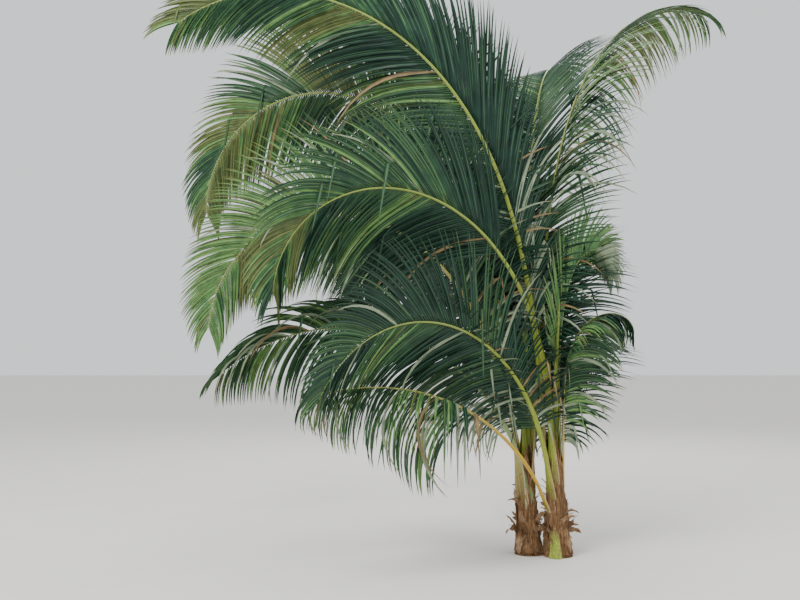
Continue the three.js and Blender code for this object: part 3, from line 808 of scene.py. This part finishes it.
def leaf_material(name, colours, group):
    material, tree, shader = new_material("leaf " + name.replace("_", " "))
    inputs = dict(zip(("Blade", "Midrib", "Tip"), map(linear, colours)))
    leaf = add_node(tree, "ShaderNodeGroup", inputs, node_tree=group).outputs
    finish(tree, shader, leaf["Color"], leaf["Roughness"], leaf["Height"], LEAF_SKIN["bump"])
    shader.inputs["Specular IOR Level"].default_value = LEAF_SKIN["specular"]
    return material


def stalk_material(name, colours, blotches):
    """Waxy skin that runs from the stalk's foot to the rib's green, with long streaks and dark specks."""
    skin = STALK_SKIN
    material, tree, shader = new_material("stalk " + name.replace("_", " "))
    foot, stalk, rib, margin = map(linear, colours)
    share = step(tree, "ShaderNodeAttribute", output="Fac", attribute_name="share")
    section = step(tree, "ShaderNodeAttribute", output="Vector", attribute_name="section")
    wide, deep = add_node(tree, "ShaderNodeSeparateXYZ", {0: section}).outputs[:2]
    tone = mix_colour(tree, ramp(tree, share, *skin["foot_ends"]), foot, stalk)
    tone = mix_colour(tree, ramp(tree, share, *skin["rib_begins"]), tone, rib)
    stretched = {0: product(tree, wide, skin["across"]), 1: product(tree, deep, skin["across"]),
                 2: product(tree, share, skin["along"])}
    streaks = cloud(tree, step(tree, "ShaderNodeCombineXYZ", stretched), skin["scale"], 5.0)
    dark, light = dark_and_light(tree, tone, skin)
    tone = mix_colour(tree, ramp(tree, streaks, *skin["edges"]), dark, light)
    near_foot = ramp(tree, share, *skin["near_foot"], 1.0, 0.0)
    edge = ramp(tree, calc(tree, "ABSOLUTE", wide), *skin["margin"])
    tone = mix_colour(tree, product(tree, edge, near_foot), tone, margin)
    specks = step(tree, "ShaderNodeGroup", {"Scale": skin["specks"], "Amount": 1.0}, node_tree=blotches)
    specks = product(tree, ramp(tree, specks, *skin["speck_edges"]), near_foot, skin["speck_shows"])
    tone = mix_colour(tree, specks, tone, linear(skin["speck"]))
    finish(tree, shader, tone, ramp(tree, streaks, 0.2, 0.8, *skin["rough"]), streaks, skin["bump"])
    shader.inputs["Coat Weight"].default_value = skin["coat"]
    return material


def fibre_material(name, row, streaks, blotches):
    skin = FIBRE_SKIN
    dark, light, across, up = row
    material, tree, shader = new_material(name)
    inputs = {"Across": across, "Up": up}
    grain = add_node(tree, "ShaderNodeGroup", inputs, node_tree=streaks).outputs
    inputs = {"Scale": skin["patches"], "Amount": skin["patches_show"]}
    patches = step(tree, "ShaderNodeGroup", inputs, node_tree=blotches)
    tone = mix_colour(tree, grain["Mask"], linear(dark), linear(light))
    tone = mix_colour(tree, patches, tone, linear(dark))
    rough = ramp(tree, grain["Height"], 0.2, 0.8, *skin["rough"])
    finish(tree, shader, tone, rough, grain["Height"], skin["bump"])
    shader.inputs["Specular IOR Level"].default_value = skin["specular"]
    return material


def floor_material():
    material, tree, shader = new_material("pale floor")
    grit = cloud(tree, step(tree, "ShaderNodeTexCoord", output="Object"), 2.0, 2.0)
    tone = mix_colour(tree, grit, *map(linear, FLOOR_TONES))
    feed(tree, shader, {"Base Color": tone, "Roughness": 0.95})
    return material


# Fronds

def path_mesh(name, points, shares, frame, sizes):
    """A path of joined points that hold a limb's frame and size, for the limb sweep."""
    mesh = bpy.data.meshes.new(name)
    mesh.from_pydata([tuple(p) for p in points], [(i, i + 1) for i in range(len(points) - 1)], [])
    for key, values in {**frame, "share": shares, **sizes}.items():
        store(mesh, key, values)
    return mesh


def limb_piece(name, tree, path, values, material):
    mesh = grow(name, tree, path, {**values, "Material": material})
    strip_attributes(mesh, "centre", "side", "up", "half_width", "half_depth", "channel")
    return show(name, mesh, [material])


def rib_piece(frond, tree, material):
    """Stalk and rib in one: a thin heel on the stem, a channelled stalk, and a rib that thins to its tip."""
    scale = frond["scale"]
    shares = np.linspace(0, 1, RIB_RINGS) ** RIB_RINGS_CROWD
    at, along, side, up = frames_at(frond, shares)
    half_width = rib_width(frond, shares) / 2
    half_depth = rib_size(RIB_DEPTH, shares, scale) / 2
    half_width *= 1 + STALK_FOOT_SPREAD["by"] * (1 - ease(shares / STALK_FOOT_SPREAD["until"]))
    heel = at[0] - along[0] * HEEL["length"] * scale - frond["outward"] * HEEL["inward"] * scale
    middle = (heel + at[0]) / 2 - frond["outward"] * HEEL_MIDDLE["inward"]
    shares = np.concatenate([[HEEL["share"], HEEL_MIDDLE["share"]], shares])
    frame = {"side": np.vstack([side[:1], side[:1], side]), "up": np.vstack([up[:1], up[:1], up])}
    sizes = {}
    for key, values in (("width", half_width), ("depth", half_depth)):
        sizes["half_" + key] = np.concatenate([[values[0] * HEEL[key], values[0] * HEEL_MIDDLE[key]], values])
    sizes["channel"] = 1.0 - ease((shares - CHANNEL["from"]) / CHANNEL["over"])
    path = path_mesh("path", np.vstack([heel, middle, at]), shares, frame, sizes)
    values = {"Sides": RIB_SIDES, "Channel": CHANNEL["depth"]}
    return limb_piece("rib_" + frond["name"], tree, path, values, material)


def slow_wave(places, swings, rng):
    """Smooth noise from -1 to 1 along a frond, which swings about as many times as asked."""
    values = rng.uniform(-1, 1, swings + 2)
    at = np.clip(places, 0, 1) * swings
    low = at.astype(int)
    return lerp(values[low], values[low + 1], ease(at - low))


def vary_leaflets(count, first, rng):
    """How each leaflet stands and differs: those of the right side of the rib, then those of the left."""
    steps = (np.arange(count) + 0.5) / count
    parts = []
    for right in (1.0, -1.0):
        waves = {key: slow_wave(steps, WAVES_PER_FROND, rng) for key in (*LEAFLET_VARIES, "tone")}
        part = {
            "blade": lerp(first, 1, steps + rng.normal(0, PLACE_VARIES / count, count)),
            "right": np.full(count, right),
            "tone": waves["tone"],
        }
        for key, (usual, swing, varies) in LEAFLET_VARIES.items():
            part[key] = usual + swing * waves[key] + rng.normal(0, varies, count)
        parts.append(part)
    return {key: np.concatenate([part[key] for part in parts]) for key in parts[0]}


def leaflet_plan(frond, rng):
    """Where each leaflet of a frond stands, its first direction, and its size and bend. Leaflets lie in
    order: each differs a little from its neighbour, and more from those further along."""
    kind = frond["kind"]
    first = (kind["first"] - STALK_SHARE) / (1 - STALK_SHARE)
    count = round(frond["length"] * (1 - kind["first"]) / LEAFLET_PITCH)
    plan = vary_leaflets(count, first, rng)
    kept = rng.random(2 * count) * 100 > kind["missing"]
    plan = {key: values[kept] for key, values in plan.items()}
    total = len(plan["blade"])
    blade, right = np.minimum(plan["blade"], 1), plan["right"]
    near_stalk = np.exp(-np.maximum(blade, 0) / NEAR_STALK)
    luck = rng.random(total) * 100 / (1 + WORN_NEAR_STALK * near_stalk)
    worn = luck < kind["pale"] + kind["dry"]
    shares = lerp(STALK_SHARE, 1, blade)
    at, along, side, up = frames_at(frond, shares)
    first_upper = FIRST_UPPER_ANGLE.get(frond["name"], LEAFLET_ANGLE["first"])
    widest = np.where(right > 0, first_upper, LEAFLET_ANGLE["first"])
    spread = lerp(widest, LEAFLET_ANGLE["tip"], blade) * kind["spread"]
    angle = np.radians(spread + plan["angle"])[:, None]
    lift = np.radians(by_hang(frond, LEAFLET_LIFT) + plan["lift"])[:, None]
    outward = side * right[:, None] * np.cos(lift) + up * np.sin(lift)
    half_width = rib_width(frond, shares) / 2
    length = leaflet_length(blade) * frond["scale"] * kind["length"] * plan["length"]
    often_snapped = kind["snapped"] / 100 + SNAPPED_WORN * worn
    snapped = rng.random(total) < SNAPPED_LEAFLETS + near_stalk * often_snapped
    bend = by_hang(frond, LEAFLET_BEND) + plan["bend"]
    bend += worn * WORN_BEND * rng.uniform(*WORN_BEND_VARIES, total)
    width = LEAFLET_WIDTH * kind["width"] * lerp(SHORT_LEAFLET_WIDTH, 1, np.sqrt(length / LONGEST_LEAFLET))
    return {
        "total": total,
        "blade": blade,
        "tone": plan["tone"],
        "luck": luck,
        "root": at + side * (right * half_width * LEAFLET_ROOT)[:, None],
        "direction": unit(along * np.cos(angle) + outward * np.sin(angle)),
        "up": up,
        "length": length,
        "half_width": 0.5 * width,
        "bend": np.radians(bend + near_stalk * kind["limp"] * rng.uniform(*LIMP_VARIES, total)),
        "power": by_hang(frond, BEND_POWER),
        "twist": np.radians(plan["turn"] + LEAFLET_TURN * right),
        "twist_on": np.radians(rng.normal(0, LEAFLET_TWIST, total)),
        "fold": np.radians(LEAFLET_FOLD["usual"] + rng.normal(0, LEAFLET_FOLD["varies"], total)),
        "kink": np.where(snapped, rng.uniform(*SNAPPED_AT, total), UNBROKEN),
    }


def blade_points(plan, width_at):
    """Corners round folded blades: right edge, ridge, left edge and keel of each ring, from root to tip."""
    def each(key):
        return plan[key][:, None, None]

    v = np.linspace(0, 1, LEAFLET_RINGS)[None, :, None]
    direction = plan["direction"][:, None, :]
    length, kink, power = each("length"), each("kink"), plan["power"]
    down = np.array([0.0, 0.0, -1.0])
    fall = down - dot(direction, down) * direction
    level = np.linalg.norm(fall, axis=-1, keepdims=True)
    fall = unit(fall)
    most = each("bend") * lerp(STEEP_LEAFLET_BEND, 1, level)
    chord = most * v ** power / (power + 1)
    lean = most * v ** power
    at_kink = most * np.minimum(kink, 1) ** power / (power + 1)
    bent = length * v * (np.cos(chord) * direction + np.sin(chord) * fall)
    broken_at = length * kink * (np.cos(at_kink) * direction + np.sin(at_kink) * fall)
    hanging = unit(SNAPPED_KEEPS * direction + down)
    bent = np.where(v > kink, broken_at + length * (v - kink) * hanging, bent)
    tangent = np.where(v > kink, hanging, np.cos(lean) * direction + np.sin(lean) * fall)
    centre = plan["root"][:, None, :] + bent
    facing = plan["up"][:, None, :]
    facing = unit(facing - dot(facing, tangent) * tangent)
    across = np.cross(facing, tangent)
    turn = each("twist") * np.minimum(1, 4 * v) + each("twist_on") * v
    wide = across * np.cos(turn) + facing * np.sin(turn)
    facing = facing * np.cos(turn) - across * np.sin(turn)
    half = each("half_width") * width_at(v)
    drop = facing * half * np.tan(each("fold") * (1 - LEAFLET_FOLD["flattens"] * v))
    thick = LEAFLET_THICK * (1 - 0.7 * v)
    right = centre + wide * half - drop
    left = centre - wide * half - drop
    return np.stack([right, centre, left, centre - facing * thick], axis=2)


def leaflet_width(v):
    """A leaflet's width along its length: narrow at its root, broad by a fifth, then a long fine taper."""
    return (0.4 + 0.6 * ease(v / 0.2)) * np.maximum(1 - v ** 2.1, 0) ** 0.85 + 0.02


def blade_mesh(name, points, map_name):
    """One closed mesh of many blades, with a map that runs across each blade in X and along it in Y."""
    total, rings = points.shape[:2]
    last = (rings - 1) * 4
    caps = np.array([[3, 2, 1, 0], [last, last + 1, last + 2, last + 3]])
    one = np.vstack([tube_walls(rings, 4), caps])
    quads = (one[None] + (np.arange(total) * rings * 4)[:, None, None]).reshape(-1, 4)
    mesh = mesh_from(name, points.reshape(-1, 3), quads)
    across = np.tile([1.0, 0.5, 0.0, 0.5], rings * total)
    along = np.tile(np.repeat(np.linspace(0, 1, rings), 4), total)
    flat = quads.ravel()
    uv = np.stack([across[flat], along[flat]], axis=1).astype(np.float32)
    mesh.uv_layers.new(name=map_name).data.foreach_set("uv", uv.ravel())
    ends = np.empty(len(mesh.edges) * 2, dtype=np.int32)
    mesh.edges.foreach_get("vertices", ends)
    ends = ends.reshape(-1, 2)
    mesh.edges.foreach_set("use_edge_sharp", ends[:, 0] // 4 != ends[:, 1] // 4)
    return mesh, len(one)


def deal_tints(frond, plan, rng):
    """A colour for each leaflet: a green by its place along the frond, with painted shade near the stalk and
    painted sunlight towards the tip, and pale or dry here and there.
    """
    kind = frond["kind"]
    greens = np.cumsum(kind["greens"]) / sum(kind["greens"])
    far = ease((plan["blade"] - GREENS_MOVE["from"]) / GREENS_MOVE["over"])
    chance = rng.normal(0, GREENS_MOVE["chance"], plan["total"])
    # Painted shade near the stalk gives way to painted sunlight towards the tip; waves and chance are the
    # leaflets' own tones.
    drawn = 0.5 + lerp(kind["shade_at_stalk"], kind["sunlight_at_tip"], far) + GREENS_MOVE["waves"] * plan["tone"] + chance
    tints = np.searchsorted(greens, np.clip(drawn, 0.0, 0.999))
    pale = (plan["luck"] < kind["pale"] + kind["dry"]) | (plan["blade"] > kind["pale_from"])
    tints = np.where(pale, PALE, tints)
    return np.where(plan["luck"] < kind["dry"], DRY, tints)


def leaflets_piece(frond, materials, rng):
    plan = leaflet_plan(frond, rng)
    name = "leaflets_" + frond["name"]
    mesh, faces = blade_mesh(name, blade_points(plan, leaflet_width), "leaflet")
    piece = show(name, mesh, materials)
    tints = np.repeat(deal_tints(frond, plan, rng), faces)
    mesh.polygons.foreach_set("material_index", tints.astype(np.int32))
    return piece


# Spears

def spear_piece(name, spear, tree, material):
    """An unopened leaf: a long pleated cone that stands out of the stem's tip."""
    stem = STEMS[name]
    shares = np.linspace(0, 1, SPEAR_RINGS)
    z = spear["length"] * shares
    heading = math.radians(spear["heading"])
    out = z / np.tan(np.radians(spear["rise"] - spear["droop"] * shares))
    foot = stem_axis(stem, np.float64(stem["height"] + stem["tip"] + SPEAR_GAP))
    centre = foot + np.stack([out * math.cos(heading), out * math.sin(heading), z], axis=1)
    radius = spear["width"] / 2 * (1 - 0.75 * shares ** 1.3) * (1 - shares ** 9) + SPEAR_TIP
    turn = SPEAR_TWIST * shares
    frame = {"side": spokes(turn), "up": tangents(turn)}
    sizes = {"half_width": radius, "half_depth": radius, "channel": 0 * shares}
    path = path_mesh("path", centre, 0.3 + 0.7 * shares, frame, sizes)
    values = {"Sides": SPEAR_PLEATS * SIDES_PER_PLEAT, "Channel": 0.0, "Pleats": float(SPEAR_PLEATS),
              "Pleat Depth": PLEAT_DEPTH}
    return limb_piece("spear_leaf_" + name, tree, path, values, material)


# Stems and sheaths

def slab_mesh(name, outer, inner):
    """A closed sheet between two grids of points, outer and inner, of the same rows and columns."""
    rows, columns = outer.shape[:2]
    half = rows * columns
    row = np.arange(rows - 1)[:, None]
    column = np.arange(columns - 1)[None, :]
    a = (row * columns + column).ravel()
    front = np.stack([a, a + 1, a + columns + 1, a + columns], axis=1)
    back = front[:, ::-1] + half
    low = np.arange(columns - 1)
    foot = np.stack([low, low + half, low + half + 1, low + 1], axis=1)
    top = low + (rows - 1) * columns
    rim = np.stack([top, top + 1, top + half + 1, top + half], axis=1)
    left = np.arange(rows - 1) * columns
    near = np.stack([left, left + columns, left + half + columns, left + half], axis=1)
    right = left + columns - 1
    far = np.stack([right, right + half, right + half + columns, right + columns], axis=1)
    points = np.concatenate([outer.reshape(-1, 3), inner.reshape(-1, 3)])
    return mesh_from(name, points, np.vstack([front, back, foot, rim, near, far]))


def slab_piece(name, stem, z, turn, radii, material):
    """A closed sheet round a stem, of an outer and an inner radius at each place."""
    outer, inner = (round_stem(stem, z, turn, radius) for radius in radii)
    return show(name, slab_mesh(name, outer, inner), [material])


def bark_piece(name, material):
    """A short stem with the scars of fallen leaves, cracked bark and a flat cut at the ground."""
    stem = STEMS[name]
    z = np.linspace(0, 1, BARK_RINGS) ** 1.1 * (stem["height"] + stem["tip"] * 0.92)
    turn = np.linspace(0, 2 * math.pi, BARK_SIDES, endpoint=False)
    heights, turns = np.meshgrid(z, turn, indexing="ij")
    radius = stem_radius(stem, heights)
    dome = np.clip((heights - stem["height"]) / stem["tip"], 0, 1)
    radius = radius * np.sqrt(np.maximum(1 - dome ** 2, 0.0))
    relief = np.array([[bark_relief(t, h) for t in turn] for h in z])
    points = round_stem(stem, heights, turns, np.maximum(radius + relief * (1 - dome), 0.001))
    flat = points.reshape(-1, 3)
    foot = len(flat)
    foot_middle = stem_axis(stem, np.float64(0.0))
    top_middle = stem_axis(stem, np.float64(stem["height"] + stem["tip"] * 0.93))
    pair = np.arange(0, BARK_SIDES, 2)
    next_pair = (pair + 2) % BARK_SIDES
    last = (BARK_RINGS - 1) * BARK_SIDES
    under = np.stack([next_pair, pair + 1, pair, 0 * pair + foot], axis=1)
    over = np.stack([last + pair, last + pair + 1, last + next_pair, 0 * pair + foot + 1], axis=1)
    quads = np.vstack([tube_walls(BARK_RINGS, BARK_SIDES), under, over])
    mesh = mesh_from("bark_" + name, np.vstack([flat, foot_middle, top_middle]), quads)
    return show("bark_" + name, mesh, [material])


def bark_relief(turn, z):
    """How far the bark stands out at one place: a ledge at each leaf scar, and cracks between."""
    tilt = z + SCAR_TILT * math.sin(turn * 2 + 7 * z)
    step_share = (tilt / SCAR_STEP) % 1
    ledge = SCAR_HEIGHT * math.exp(-((step_share - 0.5) / SCAR_WIDTH) ** 2)
    return ledge + folds(BARK_CRACKS, turn, z) - BARK_SINK


def torn_height(boot, across, offset):
    """The share of its height that an old leaf base keeps at a place across it, from -0.5 to 0.5."""
    jag = sum(deep * abs(wobble(across * fine + offset, at, 0)) for deep, fine, at in BOOT_TEARS)
    return 1 - across * across - boot["torn"] * min(TEAR_GAIN * jag, DEEPEST_TEAR)


def fanned(base, up, across):
    """The turn in radians of a place on a leaf base, which narrows upwards."""
    return np.radians(base["at"] + base["span"] * across * (1 - BOOT_NARROWS * up))


def boot_surface(boot, up, across, offset):
    """Height, turn and outer radius at a place on an old leaf base."""
    stem = STEMS[boot["stem"]]
    keep = np.vectorize(lambda a: torn_height(boot, a, offset))(across)
    z = boot["height"] * up * keep
    radius = stem_radius(stem, z) + BOOT_THICK["foot"] + boot["lean"] * up * up
    return z, fanned(boot, up, across), radius


def sheath_piece(name, boot, offset, material):
    """An old leaf base: a curved fibrous sheet that hugs the stem and frays at its top edge."""
    stem = STEMS[boot["stem"]]
    up, across = sheet_grid(BOOT_ROWS, BOOT_COLUMNS, -0.5, 0.5)
    z, turn, radius = boot_surface(boot, up, across, offset)
    (coarse, wide), (fine, close) = BOOT_RIBS
    winding = 3 * np.sin(up * 5 + offset)
    ribs = coarse * np.sin(across * wide + winding) + fine * np.sin(across * close + offset)
    frill = np.vectorize(lambda a, u: BOOT_FRILL * u * u * wobble(a * 8 + offset, u * 3, 1.7))(across, up)
    thick = lerp(BOOT_THICK["foot"], BOOT_THICK["top"], np.minimum(1, up * 1.4)) + BOOT_SINK * (1 - up) * 0.6
    radii = radius + ribs + frill, radius + ribs * 0.5 + frill - thick
    return slab_piece(name.replace("boot", "sheath"), stem, z, turn, radii, material)


def strand_path(stem, boot, offset, rng):
    """One loose fibre on a leaf base: its points, and how thick it is at each."""
    low = rng.uniform(*STRANDS["low"])
    high = min(low + rng.uniform(*STRANDS["run"]), STRANDS["top"])
    slant = rng.choice([-1, 1]) * rng.uniform(*STRANDS["slant"])
    middle = rng.uniform(-STRANDS["edge"], STRANDS["edge"])
    t = np.linspace(0, 1, STRAND_POINTS)
    up = lerp(low, high, t)
    across = np.clip(middle + slant * (t - 0.5), -0.5, 0.5)
    z, turn, radius = boot_surface(boot, np.minimum(up, 1), across, offset)
    beyond = np.maximum(up - 1, 0) * boot["height"]
    lift = STRANDS["off"] + rng.uniform(0, STRANDS["lift"]) * t + rng.uniform(*STRANDS["spread"]) * beyond
    points = round_stem(stem, z + beyond, turn, radius + lift)
    return points, rng.uniform(*STRANDS["thin"]) * (1 - STRANDS["taper"] * t)


def strands_piece(stem_name, boots, tree, material, rng):
    """Loose fibres that lie crosswise over the old leaf bases and fray out above them."""
    stem = STEMS[stem_name]
    paths = [strand_path(stem, boot, offset, rng) for offset, boot in enumerate(boots.values())
             if boot["stem"] == stem_name for _ in range(STRANDS_PER_BOOT)]
    points, thin = (np.concatenate(values) for values in zip(*paths))
    mesh = bpy.data.meshes.new("strand paths")
    starts = [i for i in range(len(points)) if (i + 1) % STRAND_POINTS]
    mesh.from_pydata([tuple(p) for p in points], [(i, i + 1) for i in starts], [])
    store(mesh, "thin", thin)
    name = "strands_" + stem_name
    values = {"Radius": STRAND_RADIUS, "Sides": STRAND_SIDES, "Wander": STRAND_WANDER, "Seed": SEED,
              "Material": material}
    made = grow(name, tree, mesh, values)
    made.shade_smooth()
    strip_attributes(made, "thin")
    return show(name, made, [material])


def sleeve_piece(stem_name, material):
    """Woven leaf-base cloth wrapped once round a stem, creased, with an overlapping edge and a torn top."""
    stem = STEMS[stem_name]
    sleeve = SLEEVES[stem_name]
    up, around = sheet_grid(SLEEVE_ROWS, SLEEVE_COLUMNS, 0, 1)
    turn = np.radians(sleeve["edge"] + SLEEVE_TURN * around)
    torn = 1
    for deep, fine, at in SLEEVE_TEARS:
        tear = np.vectorize(lambda t: abs(wobble(fine * math.cos(t), fine * math.sin(t), at)))
        torn = torn - deep * tear(turn)
    z = lerp(sleeve["low"], sleeve["high"] * torn, up)
    crease = np.vectorize(lambda t, h: folds(SLEEVE_CREASES, t, h))(turn, z)
    off = SLEEVE_OFF
    radius = stem_radius(stem, z) + off["stem"] + crease + off["winds"] * around + off["flares"] * up ** 6
    return slab_piece("sleeve_" + stem_name, stem, z, turn, (radius, radius - SLEEVE_THICK), material)


def strip_width(v):
    """A torn strip's width along its length: uneven, with a ragged end."""
    return (0.8 + 0.2 * np.sin(v * 17)) * np.maximum(1 - v ** 5, 0) + 0.08


def strips_piece(stem_name, material, rng):
    """Torn strips of the leaf bases that curl off the foot and hang, a few of them broad."""
    stem = STEMS[stem_name]
    total = STRIPS[stem_name]
    broad = np.arange(total) < FLAPS[stem_name]

    def drawn(key):
        flaps, others = STRIP_SIZES[key]
        return np.where(broad, rng.uniform(*flaps, total), rng.uniform(*others, total))

    length = drawn("length")
    z = np.maximum(drawn("height"), STRIP_CLEARS_GROUND * length)
    turn = rng.uniform(0, 2 * math.pi, total)
    parts = STRIP_DIRECTION
    sideways = tangents(turn) * rng.uniform(*parts["sideways"], total)[:, None]
    upright = rng.choice([-1, 1, 1], total) * rng.uniform(*parts["upright"], total)
    upright = np.array([0, 0, 1.0]) * upright[:, None]
    outward = spokes(turn) * rng.uniform(*parts["outward"], total)[:, None]
    plan = {
        "root": round_stem(stem, z, turn, stem_radius(stem, z) + STRIP_OFF),
        "direction": unit(outward + sideways + upright),
        "up": spokes(turn),
        "length": length,
        "half_width": drawn("half_width"),
        "power": STRIP_BEND_POWER,
        "kink": np.full(total, UNBROKEN),
    }
    for key, angles in STRIP_ANGLES.items():
        plan[key] = np.radians(rng.uniform(*angles, total))
    name = "strips_" + stem_name
    mesh, _ = blade_mesh(name, blade_points(plan, strip_width), "strip")
    return show(name, mesh, [material])


def stub_piece(material):
    """The green foot of a cut leaf: a thick curved tongue with a rounded, cut top."""
    stem = STEMS[STUB["stem"]]
    up, across = sheet_grid(STUB_ROWS, STUB_COLUMNS, -0.5, 0.5)
    z = STUB["height"] * up * (1 - 0.5 * across * across)
    round_top = np.sqrt(np.maximum(1 - (2 * across) ** 2, 0))
    radius = stem_radius(stem, z) + STUB["out"] + (STUB["thick"] - STUB["edge"]) * round_top
    radius = radius + STUB["lean"] * up * up
    radii = radius, stem_radius(stem, z) + STUB["lean"] * up * up * 0.8
    piece = slab_piece("cut_leaf_foot", stem, z, fanned(STUB, up, across), radii, material)
    store(piece.data, "share", np.tile((STUB_SHARE["foot"] - STUB_SHARE["falls"] * up ** 2).ravel(), 2))
    place = np.stack([2 * across, 1 - up, 0 * up], axis=-1).reshape(-1, 3)
    store(piece.data, "section", np.tile(place, (2, 1)))
    return piece


# The studio

def studio():
    """A plain pale floor, soft light from above and both sides, and the camera."""
    floor_mesh = mesh_from("floor", np.array(FLOOR, dtype=float), np.array([[0, 1, 2, 3]]))
    show("floor", floor_mesh, [floor_material()])
    world = bpy.data.worlds.new("pale surround")
    world.use_nodes = True
    surround = {"Color": linear(SURROUND), "Strength": SURROUND_STRENGTH}
    feed(world.node_tree, world.node_tree.nodes["Background"], surround)
    bpy.context.scene.world = world
    for name, (place, size, power) in LAMPS.items():
        lamp = bpy.data.lights.new(name, "AREA")
        lamp.size = size
        lamp.energy = power
        light = stand(name, lamp)
        light.location = place
        light.rotation_euler = (Vector(CROWN_MIDDLE) - Vector(place)).to_track_quat("-Z", "Y").to_euler()
    camera_data = bpy.data.cameras.new("camera")
    camera_data.lens = CAMERA_LENS
    camera_data.sensor_width = CAMERA_SENSOR
    camera = stand("camera", camera_data)
    camera.location = CAMERA_PLACE
    camera.rotation_euler = (math.radians(90 + CAMERA_PITCH), 0, 0)
    bpy.context.scene.camera = camera


def palm():
    """Every piece of the palm, grown, coloured and settled on the frame."""
    blotches = blotch_group()
    streaks = streak_group()
    leaf_shader = leaf_group(blotches)
    leaves = [leaf_material(name, colours, leaf_shader) for name, colours in LEAF_COLOURS.items()]
    stalks = {name: stalk_material(name, colours, blotches) for name, colours in STALK_COLOURS.items()}
    bark, sheath, fibre = (fibre_material(name, row, streaks, blotches) for name, row in FIBRES.items())
    limb_sweep = limb_tree()
    strand_sweep = strand_tree()
    rng = np.random.default_rng(SEED)
    for row in FRONDS:
        frond = plan_frond(row)
        nodes = [f"frond_{frond['name']}_{half}" for half in ("inner", "outer")]
        settle(rib_piece(frond, limb_sweep, stalks[frond["stalk"]]), "stalk", *nodes)
        settle(leaflets_piece(frond, leaves, rng), "frond", *nodes)
    for name, spear in SPEARS.items():
        settle(spear_piece(name, spear, limb_sweep, stalks["yellow_green"]), "stalk", "spear_" + name)
    boots = {name: dict(zip(BOOT_KEYS, row)) for name, row in BOOTS.items()}
    for offset, (name, boot) in enumerate(boots.items()):
        settle(sheath_piece(name, boot, offset, sheath), "fibre", name)
    settle(stub_piece(stalks["yellow_green"]), "stalk", "stub_main_front")
    for name in STEMS:
        settle(bark_piece(name, bark), "bark", "stem_" + name)
        settle(strands_piece(name, boots, strand_sweep, fibre, rng), "fibre")
        settle(sleeve_piece(name, sheath), "fibre")
        settle(strips_piece(name, fibre, rng), "fibre")


studio()
palm()
